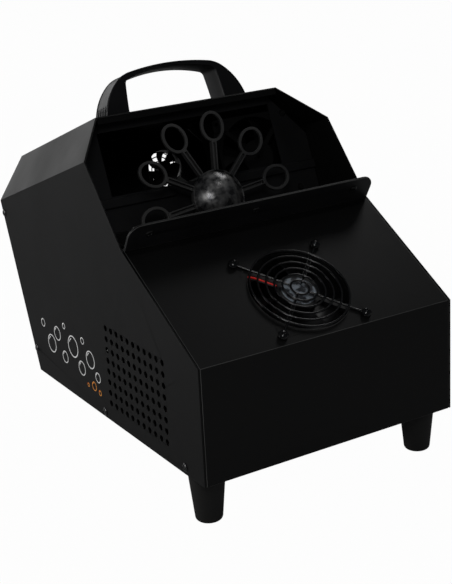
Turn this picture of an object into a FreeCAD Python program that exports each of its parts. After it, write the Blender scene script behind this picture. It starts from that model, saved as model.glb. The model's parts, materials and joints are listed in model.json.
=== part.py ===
import FreeCAD, Part

import math
import os
import re

import Sketcher

# Bubble machine: a folded sheet-steel case on four rubber feet, with a motor-driven wheel of bubble
# wands that dips into a fluid tank, a blower behind the wands, an exhaust fan in the sloping front
# panel, a small fan and the mains fittings in the rear wall, and a carrying handle on the roof.
#
# The row frame has +X to the right, +Y to the rear and +Z up, seen from the front. Sizes below are
# first worked out in the case's own frame, whose origin is the bottom front edge's midpoint; the
# Frame class moves them into the row frame, whose origin is the bottom centre of the whole machine.

X_AXIS = FreeCAD.Vector(1, 0, 0)
Y_AXIS = FreeCAD.Vector(0, 1, 0)
Z_AXIS = FreeCAD.Vector(0, 0, 1)

# Driving dimensions: name, value (millimetres, degrees or a count), meaning.
DIMENSIONS = [
    ("case_width", 250, "across the outside of the two side panels"),
    ("depth", 383.3, "front face to the top rear edge"),
    ("sheet", 1.5, "steel sheet thickness"),
    ("seam", 0.6, "gap between neighbouring panels"),
    ("front_height", 100, "height of the upright front face"),
    ("slope_angle", 30.3, "slope of the front panel"),
    ("slope_length", 135.3, "length of the sloping panel"),
    ("roof_angle", 20.5, "fall of the roof towards the rear"),
    ("roof_length", 185.3, "length of the roof"),
    ("roof_rear_z", 193.8, "height of the roof's rear edge over the case bottom"),
    ("roof_half", 93, "half width of the flat roof"),
    ("shoulder_drop", 38.5, "depth of the chamfer below the roof"),
    ("shoulder_lead", 25.5, "how far the chamfer's lower corner stands in front of the roof"),
    ("return_drop", 6.5, "turned-down front edge of the roof"),
    ("flange_width", 13, "flanges that close the base against the cover"),
    ("foot_height", 43, "rubber foot"),
    ("foot_top", 15.5, "radius of a foot at the case"),
    ("foot_bottom", 11.2, "radius of a foot at the floor"),
    ("foot_round", 3.5, "rounding of the foot's lower edge"),
    ("foot_inset", 26, "foot centre from the front and rear bottom edges"),
    ("foot_spread", 108, "front foot centre from the middle"),
    ("foot_rear_spread", 71, "rear foot centre from the middle"),
    ("hole_pitch", 10, "spacing of the side perforation"),
    ("hole_radius", 2.8, "radius of one perforation hole"),
    ("hole_columns", 11, "perforation holes in a row"),
    ("hole_rows", 8, "rows of perforation"),
    ("hole_first_y", 57.8, "foremost column"),
    ("hole_first_z", 17.6, "lowest row"),
    ("lip_height", 27, "drip lip above the sloping panel"),
    ("lip_sheet", 2, "thickness of the drip lip"),
    ("lip_corner", 12, "rounded corners of the drip lip"),
    ("lip_stand", 24, "upturned flange that carries the drip lip"),
    ("lip_screw_height", 16, "screw line of the drip lip"),
    ("lip_screw_spread", 103, "outer lip screws from the middle"),
    ("front_fan_size", 92, "standard axial fan"),
    ("front_fan_spacing", 82.5, "its screw spacing"),
    ("front_fan_depth", 25.4, "its thickness"),
    ("front_fan_up", 50.6, "fan centre up the slope"),
    ("blower_size", 80, "standard axial fan behind the wands"),
    ("blower_spacing", 71.5, "its screw spacing"),
    ("blower_depth", 25.4, "its thickness"),
    ("blower_x", 67, "blower centre from the middle"),
    ("blower_up", 32, "blower centre above the wheel axle"),
    ("rear_fan_size", 40, "standard small fan in the rear wall"),
    ("rear_fan_spacing", 32, "its screw spacing"),
    ("rear_fan_depth", 10.5, "its thickness"),
    ("rear_fan_x", 52, "rear fan centre from the middle"),
    ("rear_fan_drop", 39.3, "rear fan centre below the roof edge"),
    ("strut_half", 2, "half width of a fan's struts"),
    ("fan_shaft", 1.5, "radius of a fan's spindle"),
    ("running_gap", 0.05, "radial clearance of a spindle in its bearing"),
    ("wheel_y", 168.8, "wheel centre from the front"),
    ("wheel_z", 177.9, "wheel centre above the case bottom"),
    ("wheel_lean", 22, "the wheel leans back"),
    ("wheel_phase", 79, "angle of the uppermost wand"),
    ("wand_count", 10, "wands on the wheel"),
    ("ring_reach", 65, "ring centre from the wheel's axis"),
    ("ring_half_width", 11.7, "outer half width of a ring"),
    ("ring_half_height", 14, "outer half height of a ring"),
    ("ring_band", 2.6, "width of the ring's band"),
    ("ring_depth", 3.2, "depth of a ring along the axle"),
    ("spoke_depth", 5, "depth of a spoke along the axle"),
    ("spoke_half", 2.4, "half width of a spoke"),
    ("spoke_wall", 1.2, "wall of the spoke's channel"),
    ("hub_radius", 24.5, "wheel hub"),
    ("hub_depth", 5, "wheel hub along the axle"),
    ("cap_radius", 25.5, "domed hub cap"),
    ("cap_rise", 13, "height of the dome"),
    ("axle_radius", 4, "wheel axle"),
    ("baffle_offset", 22.5, "baffle plane behind the wheel plane"),
    ("baffle_top", 86.5, "upper edge of the baffle above the axle"),
    ("baffle_bottom", 27, "lower edge of the baffle below the axle"),
    ("window_top", 78.2, "upper edge of the baffle's window"),
    ("window_bottom", 21.5, "lower edge of the baffle's window"),
    ("ledge_low", 11.3, "lower edge of the baffle's ledge"),
    ("ledge_high", 20, "upper edge of the baffle's ledge"),
    ("ledge_depth", 2.5, "how far the ledge stands out"),
    ("ledge_relief", 31, "radius cut out of the ledge round the wheel hub"),
    ("motor_radius", 24, "geared wheel motor"),
    ("motor_depth", 22, "its thickness"),
    ("motor_ear", 28, "its screw ears from the middle"),
    ("tank_front", 119.5, "outside of the tank's front wall"),
    ("tank_rear", 176, "outside of the tank's rear wall"),
    ("tank_floor", 88, "underside of the tank"),
    ("tank_rim", 163.5, "rim of the tank"),
    ("tank_half", 112, "half width of the tank"),
    ("tank_wall", 2, "wall of the tank"),
    ("tank_corner", 8, "outer corner radius of the tank"),
    ("drain_bore", 5, "radius of the tank's drain"),
    ("drain_boss", 12, "boss of the drain below the tank"),
    ("plug_flange", 3, "flange of the drain plug"),
    ("stand_flange", 12, "width of a tank stand's flanges"),
    ("handle_set_back", 20, "handle behind the roof's front edge"),
    ("handle_depth", 26, "handle from front to back"),
    ("handle_half", 73, "half length of the handle"),
    ("handle_height", 41.6, "handle above the roof"),
    ("handle_crown", 233, "radius of the handle's top"),
    ("handle_crown_half", 41, "half length of the handle's top arc"),
    ("handle_shoulder", 28.6, "radius of the handle's shoulders"),
    ("handle_leg", 54, "radius of the handle's end faces"),
    ("grip_half", 49.5, "half length of the finger opening"),
    ("grip_height", 38.2, "height of the finger opening"),
    ("grip_crown", 150, "radius of the finger opening's top"),
    ("grip_crown_half", 43, "half length of the finger opening's top arc"),
    ("grip_shoulder", 5, "corner radius of the finger opening"),
    ("grip_leg", 400, "radius of the finger opening's ends"),
    ("handle_edge", 1.2, "rounding of the handle's edges"),
    ("handle_bore", 15, "depth of the handle's bolt holes"),
    ("handle_bolt_x", 61, "handle bolt from the middle"),
    ("inlet_x", -72, "mains inlet from the middle"),
    ("inlet_drop", 165, "mains inlet below the roof edge"),
    ("inlet_half_width", 25, "half width of the inlet's flange"),
    ("inlet_half_height", 16, "half height of the inlet's flange"),
    ("inlet_screws", 40, "inlet screw spacing"),
    ("inlet_block_half", 14, "half width of the inlet's body behind the wall"),
    ("inlet_block_high", 13, "half height of the inlet's body"),
    ("inlet_block_depth", 27, "inlet's body behind the wall"),
    ("socket_half", 12, "half width of the inlet's socket"),
    ("socket_depth", 17, "depth of the inlet's socket"),
    ("fuse_half", 11, "half width of the fuse drawer's slot"),
    ("fuse_length", 24, "length of the fuse drawer"),
    ("switch_x", -20, "power switch from the middle"),
    ("switch_drop", 165, "power switch below the roof edge"),
    ("switch_half_width", 7.5, "half width of the switch bezel"),
    ("switch_half_height", 10.5, "half height of the switch bezel"),
    ("switch_block_half", 6, "half width of the switch's body behind the wall"),
    ("switch_block_high", 9, "half height of the switch's body"),
    ("switch_block_depth", 20, "switch's body behind the wall"),
    ("switch_wall", 0.8, "wall of the switch's body"),
    ("rocker_travel", 22, "swing of the rocker between its two positions"),
    ("board_x", -95, "left edge of the power board"),
    ("board_y", 205, "front edge of the power board"),
    ("board_length", 90, "power board along X"),
    ("board_width", 62, "power board along Y"),
    ("board_thick", 1.6, "thickness of the power board"),
    ("post_inset", 6, "standoffs from the board's edges"),
    ("board_lift", 8, "power board above the bottom panel"),
    ("panel_screw_inset", 20, "rear panel screws from the sides and below the shoulder and the inlet"),
    ("screw_head", 3.6, "radius of a case screw's head"),
    ("screw_rise", 1.5, "height of a case screw's head"),
    ("screw_shank", 1.7, "radius of a case screw"),
    ("screw_length", 6, "length of a case screw"),
    ("lead_radius", 0.7, "insulated lead"),
    ("mains_radius", 1.6, "sleeved mains lead"),
    ("stand_x", 84, "tank stands from the middle"),
    ("stand_inset", 6, "tank stands inside the tank's front and rear"),
]
NAMES = {name for name, value, meaning in DIMENSIONS}
WORD = re.compile(r"[a-z][a-z_0-9]*")

# Cover screws in each side panel: distance from the front and height over the case bottom.
SIDE_SCREWS = [(29.9, 6.4), (171.2, 5.2), (313.8, 21.6), (361.9, 146.7)]

# Left between the faces of two sub-parts that touch.
CONTACT_GAP = 0.05

doc = FreeCAD.newDocument("bubble_machine")
sheet = doc.addObject("Spreadsheet::Sheet", "Dims")
for row, (name, value, meaning) in enumerate(DIMENSIONS, start=1):
    sheet.set("A%d" % row, name)
    sheet.set("B%d" % row, str(value))
    sheet.set("C%d" % row, meaning)
    sheet.setAlias("B%d" % row, name)
doc.recompute()

nodes = []


def size(name):
    """The value of one dimension."""
    return float(sheet.get(name))


def formula(text):
    """An expression in which each dimension's name has become a reference to its cell."""
    def cell(word):
        return "Dims." + word.group() if word.group() in NAMES else word.group()
    return WORD.sub(cell, str(text))


def worth(text):
    """The number that an expression over the sheet stands for."""
    return float(sheet.evalExpression(str(text)))


class Frame:
    """A working frame on the machine's mid-plane, leaning about the X axis."""

    def __init__(self, y, z, lean=0):
        base = FreeCAD.Vector(0, y - size("depth") / 2, z + size("foot_height"))
        self.base = FreeCAD.Placement(base, FreeCAD.Rotation(X_AXIS, lean))

    def at(self, x=0, y=0, z=0, turn=FreeCAD.Rotation()):
        """The placement of a point of this frame, turned within it."""
        return self.base.multiply(FreeCAD.Placement(FreeCAD.Vector(x, y, z), turn))


def sloped(distance):
    """A point of the sloping panel's outer face, measured up from the front fold."""
    slope = math.radians(size("slope_angle"))
    return distance * math.cos(slope), size("front_height") + distance * math.sin(slope)


ROOF_FALL = math.radians(size("roof_angle"))
ROOF_FRONT_Y = size("depth") - size("roof_length") * math.cos(ROOF_FALL)
ROOF_FRONT_Z = size("roof_rear_z") + size("roof_length") * math.sin(ROOF_FALL)

CASE = Frame(0, 0)
SLOPE = Frame(*sloped(size("front_fan_up")), size("slope_angle"))
SLOPE_TOP = Frame(*sloped(size("slope_length")), size("slope_angle"))
ROOF = Frame(ROOF_FRONT_Y, ROOF_FRONT_Z, -size("roof_angle"))
REAR = Frame(size("depth"), size("roof_rear_z"), -size("roof_angle"))
WHEEL = Frame(size("wheel_y"), size("wheel_z"), -size("wheel_lean"))


# ---- helpers that make document objects ----------------------------------------------------------

def keep(item, label):
    """Name a finished sub-part and put it on the list to be written."""
    item.Label = label
    nodes.append(item)
    return item


def new_body(label, placement):
    """A PartDesign body for one sub-part."""
    body = doc.addObject("PartDesign::Body", label + "_body")
    body.Placement = placement
    return keep(body, label)


def new_sketch(body, plane, shift=None):
    """A sketch on one of the body's own origin planes, moved off it by shift."""
    sketch = body.newObject("Sketcher::SketchObject", "sketch")
    support = [feature for feature in body.Origin.OriginFeatures if feature.Role == plane][0]
    sketch.AttachmentSupport = [(support, "")]
    sketch.MapMode = "FlatFace"
    if shift is not None:
        sketch.AttachmentOffset = shift
    return sketch


def bound(sketch, kind, *where):
    """Add a dimension whose last argument is an expression over the sheet."""
    target = where[-1]
    number = sketch.addConstraint(Sketcher.Constraint(kind, *where[:-1], worth(target)))
    sketch.setExpression("Constraints[%d]" % number, formula(target))


def fix_point(sketch, piece, end, x, y):
    """Hold one point of a sketch at the place that two expressions give."""
    bound(sketch, "DistanceX", -1, 1, piece, end, x)
    bound(sketch, "DistanceY", -1, 1, piece, end, y)


def polygon(sketch, corners):
    """A closed outline of straight edges; each corner is a pair of expressions."""
    points = [FreeCAD.Vector(worth(x), worth(y), 0) for x, y in corners]
    first = sketch.GeometryCount
    count = len(points)
    for index in range(count):
        sketch.addGeometry(Part.LineSegment(points[index], points[(index + 1) % count]), False)
    for index in range(count):
        following = first + (index + 1) % count
        sketch.addConstraint(Sketcher.Constraint("Coincident", first + index, 2, following, 1))
    for index, (x, y) in enumerate(corners):
        fix_point(sketch, first + index, 1, x, y)
    return sketch


def rectangle(sketch, left, right, low, high):
    """An upright rectangle between four expressions."""
    return polygon(sketch, [(left, low), (right, low), (right, high), (left, high)])


def circle(sketch, x, y, radius):
    """A circle with its centre and radius bound to the sheet."""
    centre = FreeCAD.Vector(worth(x), worth(y), 0)
    piece = sketch.addGeometry(Part.Circle(centre, Z_AXIS, worth(radius)), False)
    fix_point(sketch, piece, 3, x, y)
    bound(sketch, "Radius", piece, radius)
    return sketch


def circles_at_corners(sketch, spacing, radius, x="0", y="0"):
    """Four circles at the corners of a square centred on x, y."""
    for side in ("-", "+"):
        for end in ("-", "+"):
            circle(sketch, "%s %s %s / 2" % (x, side, spacing), "%s %s %s / 2" % (y, end, spacing), radius)
    return sketch


def ellipse(sketch, middle, half_width, half_height):
    """An upright ellipse on the sketch's vertical axis."""
    centre = FreeCAD.Vector(0, worth(middle), 0)
    tall = FreeCAD.Vector(0, worth(middle) + worth(half_height), 0)
    wide = FreeCAD.Vector(worth(half_width), worth(middle), 0)
    piece = sketch.addGeometry(Part.Ellipse(tall, wide, centre), False)
    sketch.exposeInternalGeometry(piece)
    major, minor = piece + 1, piece + 2
    top = 1 if sketch.Geometry[major].StartPoint.y > sketch.Geometry[major].EndPoint.y else 2
    right = 1 if sketch.Geometry[minor].StartPoint.x > sketch.Geometry[minor].EndPoint.x else 2
    fix_point(sketch, major, top, "0", "%s + %s" % (middle, half_height))
    fix_point(sketch, major, 3 - top, "0", "%s - (%s)" % (middle, half_height))
    bound(sketch, "DistanceX", -1, 1, minor, right, half_width)
    return sketch


def arch(sketch, prefix, half, height):
    """A low arch on the X axis: crown, shoulder and leg arcs, tangent to each other, and a base line.

    The sheet gives the crown, shoulder and leg radii and the crown arc's half length under prefix.
    """
    crown, shoulder, leg = (size(prefix + suffix) for suffix in ("_crown", "_shoulder", "_leg"))
    reach = size(prefix + "_crown_half")
    foot = FreeCAD.Vector(worth(half), 0, 0)
    crown_centre = FreeCAD.Vector(0, worth(height) - crown, 0)
    joint = crown_centre + FreeCAD.Vector(reach, math.sqrt(crown ** 2 - reach ** 2), 0)
    shoulder_centre = joint + (crown_centre - joint) * (shoulder / crown)
    offset = shoulder_centre - foot
    spare = leg - shoulder
    turn = math.acos((offset.Length ** 2 + spare ** 2 - leg ** 2) / (2 * spare * offset.Length))
    heading = math.atan2(offset.y, offset.x) - turn
    outward = FreeCAD.Vector(math.cos(heading), math.sin(heading), 0)
    leg_centre = shoulder_centre - outward * spare

    def bearing(centre, point):
        return math.atan2(point.y - centre.y, point.x - centre.x)

    def arc(centre, radius, start, end):
        return sketch.addGeometry(Part.ArcOfCircle(Part.Circle(centre, Z_AXIS, radius), start, end), False)

    def mirrored(point):
        return FreeCAD.Vector(-point.x, point.y, 0)

    rise = bearing(crown_centre, joint)
    bend = bearing(shoulder_centre, joint)
    base = bearing(leg_centre, foot)
    pieces = [
        arc(leg_centre, leg, base, heading),
        arc(shoulder_centre, shoulder, heading, bend),
        arc(crown_centre, crown, rise, math.pi - rise),
        arc(mirrored(shoulder_centre), shoulder, math.pi - bend, math.pi - heading),
        arc(mirrored(leg_centre), leg, math.pi - heading, math.pi - base),
    ]
    for one, following in zip(pieces, pieces[1:]):
        sketch.addConstraint(Sketcher.Constraint("Tangent", one, 2, following, 1))
    ground = sketch.addGeometry(Part.LineSegment(mirrored(foot), foot), False)
    sketch.addConstraint(Sketcher.Constraint("Coincident", pieces[4], 2, ground, 1))
    sketch.addConstraint(Sketcher.Constraint("Coincident", ground, 2, pieces[0], 1))
    fix_point(sketch, ground, 1, "-(%s)" % half, "0")
    fix_point(sketch, ground, 2, half, "0")
    fix_point(sketch, pieces[2], 3, "0", "%s - %s_crown" % (height, prefix))
    bound(sketch, "Radius", pieces[2], prefix + "_crown")
    bound(sketch, "DistanceX", -1, 1, pieces[2], 1, prefix + "_crown_half")
    bound(sketch, "DistanceX", -1, 1, pieces[2], 2, "-%s_crown_half" % prefix)
    for shoulder_arc, leg_arc in ((pieces[1], pieces[0]), (pieces[3], pieces[4])):
        bound(sketch, "Radius", shoulder_arc, prefix + "_shoulder")
        bound(sketch, "Radius", leg_arc, prefix + "_leg")
    return sketch


def extrude(kind, body, sketch, length, midplane, reverse):
    """A Pad or Pocket bound to the sheet, checked to have changed the solid."""
    before = body.Shape.Volume if body.Tip else 0
    feature = body.newObject("PartDesign::" + kind, kind.lower())
    feature.Profile = sketch
    feature.setExpression("Length", formula(length))
    feature.Midplane = midplane
    feature.Reversed = reverse
    doc.recompute()
    change = body.Shape.Volume - before
    if (change if kind == "Pad" else -change) < 1e-3:
        raise RuntimeError("%s of %s changes nothing" % (kind, body.Label))
    return feature


def pad(body, sketch, length, midplane=False, reverse=False):
    """Add an extruded sketch."""
    return extrude("Pad", body, sketch, length, midplane, reverse)


def pocket(body, sketch, length="4 * case_width", midplane=False, reverse=False):
    """Cut an extruded sketch away; the default length goes right through."""
    return extrude("Pocket", body, sketch, length, midplane, reverse)


def revolve(body, sketch, axis):
    """Turn a sketch round one of its own axes."""
    feature = body.newObject("PartDesign::Revolution", "revolution")
    feature.Profile = sketch
    feature.ReferenceAxis = (sketch, [axis])
    feature.Angle = 360
    doc.recompute()
    return feature


def polar(body, feature, count):
    """Repeat a feature round the body's own Z axis."""
    pattern = body.newObject("PartDesign::PolarPattern", "pattern")
    pattern.Originals = [feature]
    axis = [item for item in body.Origin.OriginFeatures if item.Role == "Z_Axis"][0]
    pattern.Axis = (axis, [""])
    pattern.Angle = 360
    pattern.Occurrences = count
    body.Tip = pattern
    doc.recompute()
    return pattern


def round_edges(body, radius, wanted):
    """Fillet those edges of the body whose middle point and direction satisfy wanted."""
    names = []
    shape = body.Tip.Shape
    for number, edge in enumerate(shape.Edges, start=1):
        middle = edge.valueAt((edge.FirstParameter + edge.LastParameter) / 2)
        if wanted(middle, edge):
            names.append("Edge%d" % number)
    feature = body.newObject("PartDesign::Fillet", "fillet")
    feature.Base = (body.Group[-2], names)
    feature.setExpression("Radius", formula(radius))
    body.Tip = feature
    doc.recompute()
    return feature


def along(edge, axis):
    """Whether a straight edge runs along an axis."""
    if not isinstance(edge.Curve, Part.Line):
        return False
    return abs(edge.Curve.Direction.dot(axis)) > 0.999


def primitive(kind, name, placement, **sizes):
    """A Part primitive bound to the sheet."""
    item = doc.addObject("Part::" + kind, name)
    for key, text in sizes.items():
        item.setExpression(key, formula(text))
    item.Placement = placement
    return item


def joined(kind, name, items):
    """A MultiFuse or Compound of several objects."""
    group = doc.addObject("Part::" + kind, name)
    if kind == "Compound":
        group.Links = items
    else:
        group.Shapes = items
    return group


def screws(label, places, head="screw_head", rise="screw_rise", shank="screw_shank",
           length="screw_length"):
    """A group of identical pan-head screws; each place's local Z points out of the screwed face."""
    group = []
    for place in places:
        crown = primitive("Cone", "crown", place, Radius1=head, Radius2="0.62 * %s" % head, Height=rise)
        down = place.multiply(FreeCAD.Placement(FreeCAD.Vector(0, 0, -worth(length)), FreeCAD.Rotation()))
        stem = primitive("Cylinder", "stem", down, Radius=shank, Height=length)
        group.append(joined("MultiFuse", "screw", [crown, stem]))
    return keep(joined("Compound", label + "_group", group), label)


def route(label, frame, points, radius_name):
    """A round lead along straight runs joined by tangent arcs, through points of a frame."""
    corners = [frame.base.multVec(FreeCAD.Vector(*point)) for point in points]
    edges = []
    start = corners[0]
    for before, corner, after in zip(corners, corners[1:], corners[2:]):
        incoming = corner.sub(before)
        outgoing = after.sub(corner)
        turn = incoming.getAngle(outgoing)
        trim = 0.45 * min(incoming.Length, outgoing.Length)
        entry = corner.sub(incoming.normalize().multiply(trim))
        leave = corner.add(outgoing.normalize().multiply(trim))
        bisector = entry.add(leave).multiply(0.5).sub(corner)
        radius = trim / math.tan(turn / 2)
        centre_distance = math.hypot(radius, trim)
        middle = corner.add(bisector.normalize().multiply(centre_distance - radius))
        edges.append(Part.LineSegment(start, entry).toShape())
        edges.append(Part.Arc(entry, middle, leave).toShape())
        start = leave
    edges.append(Part.LineSegment(start, corners[-1]).toShape())
    spine = Part.Wire(edges)
    heading = corners[1].sub(corners[0])
    section = Part.Wire([Part.makeCircle(size(radius_name), corners[0], heading)])
    lead = doc.addObject("Part::Feature", label + "_lead")
    lead.Shape = spine.makePipeShell([section], True, False)
    expected = math.pi * size(radius_name) ** 2 * spine.Length
    if abs(lead.Shape.Volume / expected - 1) > 0.02:
        raise RuntimeError("the lead %s is not a full tube" % label)
    lead.Placement = FreeCAD.Placement()
    return keep(lead, label)


# ---- the case ------------------------------------------------------------------------------------

# Corners of the side panels, as expressions in the case frame: y, z.
FRONT_BOTTOM = ("0", "0")
FRONT_FOLD = ("0", "front_height")
SLOPE_END = ("slope_length * cos(slope_angle)", "front_height + slope_length * sin(slope_angle)")
ROOF_FRONT = ("depth - roof_length * cos(roof_angle)", "roof_rear_z + roof_length * sin(roof_angle)")
SHOULDER = ("%s - shoulder_lead * cos(roof_angle) - shoulder_drop * sin(roof_angle)" % ROOF_FRONT[0],
            "%s + shoulder_lead * sin(roof_angle) - shoulder_drop * cos(roof_angle)" % ROOF_FRONT[1])
ROOF_REAR = ("depth", "roof_rear_z")
REAR_BOTTOM = ("depth - roof_rear_z * tan(roof_angle)", "0")


def across_the_roof():
    """Attachment offset that stands a sketch of the XZ plane square to the roof, at its rear edge."""
    base = FreeCAD.Vector(0, size("roof_rear_z"), -size("depth"))
    return FreeCAD.Placement(base, FreeCAD.Rotation(X_AXIS, -size("roof_angle")))


def cover_shell():
    """Side panels, chamfers and roof, folded from one sheet, with both perforated fields."""
    body = new_body("cover_shell", CASE.at())
    outline = [FRONT_BOTTOM, FRONT_FOLD, SLOPE_END, SHOULDER, ROOF_FRONT, ROOF_REAR, REAR_BOTTOM]
    pad(body, polygon(new_sketch(body, "YZ_Plane"), outline), "case_width", midplane=True)

    section = new_sketch(body, "XZ_Plane", across_the_roof())
    tilt = "atan(shoulder_drop / (case_width / 2 - roof_half))"
    inner_top = "roof_half - sheet * tan(%s / 2)" % tilt
    inner_side = "case_width / 2 - sheet"
    inner_drop = "-shoulder_drop - sheet * tan((90 deg - %s) / 2)" % tilt
    polygon(section, [("-(%s)" % inner_side, "-depth"), (inner_side, "-depth"), (inner_side, inner_drop),
                      (inner_top, "-sheet"), ("-(%s)" % inner_top, "-sheet"),
                      ("-(%s)" % inner_side, inner_drop)])
    for sign in ("", "-"):
        polygon(section, [(sign + "roof_half", "0"), (sign + "case_width / 2", "-shoulder_drop"),
                          (sign + "case_width", "-shoulder_drop"), (sign + "case_width", "sheet * 4"),
                          (sign + "roof_half", "sheet * 4")])
    pocket(body, section, "4 * depth", midplane=True)

    strip = new_sketch(body, "XZ_Plane", across_the_roof())
    rectangle(strip, "-roof_half + 1", "roof_half - 1", "-return_drop", "-sheet / 2")
    strip.AttachmentOffset = FreeCAD.Placement(
        FreeCAD.Vector(0, ROOF_FRONT_Z, -ROOF_FRONT_Y), FreeCAD.Rotation(X_AXIS, -size("roof_angle")))
    pad(body, strip, "sheet", reverse=True)

    mesh = new_sketch(body, "YZ_Plane")
    circle(mesh, "hole_first_y", "hole_first_z", "hole_radius")
    hole = pocket(body, mesh, "2 * case_width", midplane=True)
    pattern = body.newObject("PartDesign::LinearPattern", "perforation")
    pattern.Originals = [hole]
    pattern.Direction = (mesh, ["H_Axis"])
    pattern.Direction2 = (mesh, ["V_Axis"])
    pattern.setExpression("Length", formula("hole_pitch * (hole_columns - 1)"))
    pattern.setExpression("Length2", formula("hole_pitch * (hole_rows - 1)"))
    pattern.Occurrences = int(size("hole_columns"))
    pattern.Occurrences2 = int(size("hole_rows"))
    body.Tip = pattern
    doc.recompute()

    fixings = new_sketch(body, "YZ_Plane")
    for y, z in SIDE_SCREWS:
        circle(fixings, str(y), str(z), "screw_shank + 0.2")
    pocket(body, fixings, "2 * case_width", midplane=True)

    bolts = new_sketch(body, "XY_Plane", FreeCAD.Placement(
        FreeCAD.Vector(0, ROOF_FRONT_Y, ROOF_FRONT_Z), FreeCAD.Rotation(X_AXIS, -size("roof_angle"))))
    for sign in ("", "-"):
        circle(bolts, sign + "handle_bolt_x", "handle_set_back + handle_depth / 2", "2.6")
    pocket(body, bolts, "20", midplane=True)


def base_chassis():
    """Bottom, front face and sloping panel, folded from one sheet, with flanges inside the cover."""
    body = new_body("base_chassis", CASE.at())
    inner_fold = ("sheet", "front_height - sheet * tan((90 - slope_angle) / 2)")
    inner_end = ("%s + sheet * sin(slope_angle)" % SLOPE_END[0],
                 "%s - sheet * cos(slope_angle)" % SLOPE_END[1])
    flange = "(sheet + flange_width)"
    flange_fold = (flange, "front_height - %s * tan((90 - slope_angle) / 2)" % flange)
    flange_end = ("%s + %s * sin(slope_angle)" % (SLOPE_END[0], flange),
                  "%s - %s * cos(slope_angle)" % (SLOPE_END[1], flange))
    rear = ("%s - 3" % REAR_BOTTOM[0], "0")
    band = [FRONT_BOTTOM, FRONT_FOLD, SLOPE_END, flange_end, flange_fold, (flange, flange),
            ("%s - 3 + %s * tan(roof_angle)" % (REAR_BOTTOM[0], flange), flange), rear]
    pad(body, polygon(new_sketch(body, "YZ_Plane"), band), "case_width - 2 * sheet - 2 * seam",
        midplane=True)
    hollow = [("sheet", "sheet"), inner_fold, inner_end,
              ("%s + 30" % inner_end[0], "%s - 40" % inner_end[1]), ("depth", "30"), ("depth", "sheet")]
    pocket(body, polygon(new_sketch(body, "YZ_Plane"), hollow), "case_width - 4 * sheet - 2 * seam",
           midplane=True)

    # Upturned flange at the slope's upper end, which carries the drip lip.
    stand = new_sketch(body, "YZ_Plane")
    across = ("sin(slope_angle)", "cos(slope_angle)")
    start = ("%s - sheet * cos(slope_angle)" % SLOPE_END[0], "%s - sheet * sin(slope_angle)" % SLOPE_END[1])
    polygon(stand, [start, (SLOPE_END[0], SLOPE_END[1]),
                    ("%s - lip_stand * %s" % (SLOPE_END[0], across[0]),
                     "%s + lip_stand * %s" % (SLOPE_END[1], across[1])),
                    ("%s - lip_stand * %s" % (start[0], across[0]),
                     "%s + lip_stand * %s" % (start[1], across[1]))])
    pad(body, stand, "case_width - 14", midplane=True)

    slope = FreeCAD.Placement(FreeCAD.Vector(0, *sloped(size("front_fan_up"))),
                              FreeCAD.Rotation(X_AXIS, size("slope_angle")))
    fan = new_sketch(body, "XY_Plane", slope)
    circle(fan, "0", "0", "front_fan_size / 2 - 2")
    circles_at_corners(fan, "front_fan_spacing", "2.2")
    pocket(body, fan, "20", midplane=True)

    floor = new_sketch(body, "XY_Plane")
    for sign in ("-", ""):
        circle(floor, sign + "foot_spread", "foot_inset", "2.7")
        circle(floor, sign + "foot_rear_spread", "%s - foot_inset" % REAR_BOTTOM[0], "2.7")
    circle(floor, "0", "(tank_front + tank_rear) / 2", "drain_bore + 4")
    pocket(body, floor, "10", midplane=True)

    lip = new_sketch(body, "XZ_Plane", FreeCAD.Placement(
        FreeCAD.Vector(0, sloped(size("slope_length"))[1], -sloped(size("slope_length"))[0]),
        FreeCAD.Rotation(X_AXIS, size("slope_angle"))))
    for x in ("-lip_screw_spread", "0", "lip_screw_spread"):
        circle(lip, x, "lip_screw_height", "screw_shank + 0.2")
    pocket(body, lip, "10", midplane=True)

    fixings = new_sketch(body, "YZ_Plane")
    for y, z in SIDE_SCREWS[:2]:
        circle(fixings, str(y), str(z), "screw_shank + 0.1")
    pocket(body, fixings, "2 * case_width", midplane=True)


def on_rear_wall(y, z):
    """A point of the case's side view as distances out of and up along the rear wall."""
    back = y - size("depth")
    up = z - size("roof_rear_z")
    return (back * math.cos(ROOF_FALL) - up * math.sin(ROOF_FALL),
            back * math.sin(ROOF_FALL) + up * math.cos(ROOF_FALL))


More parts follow.
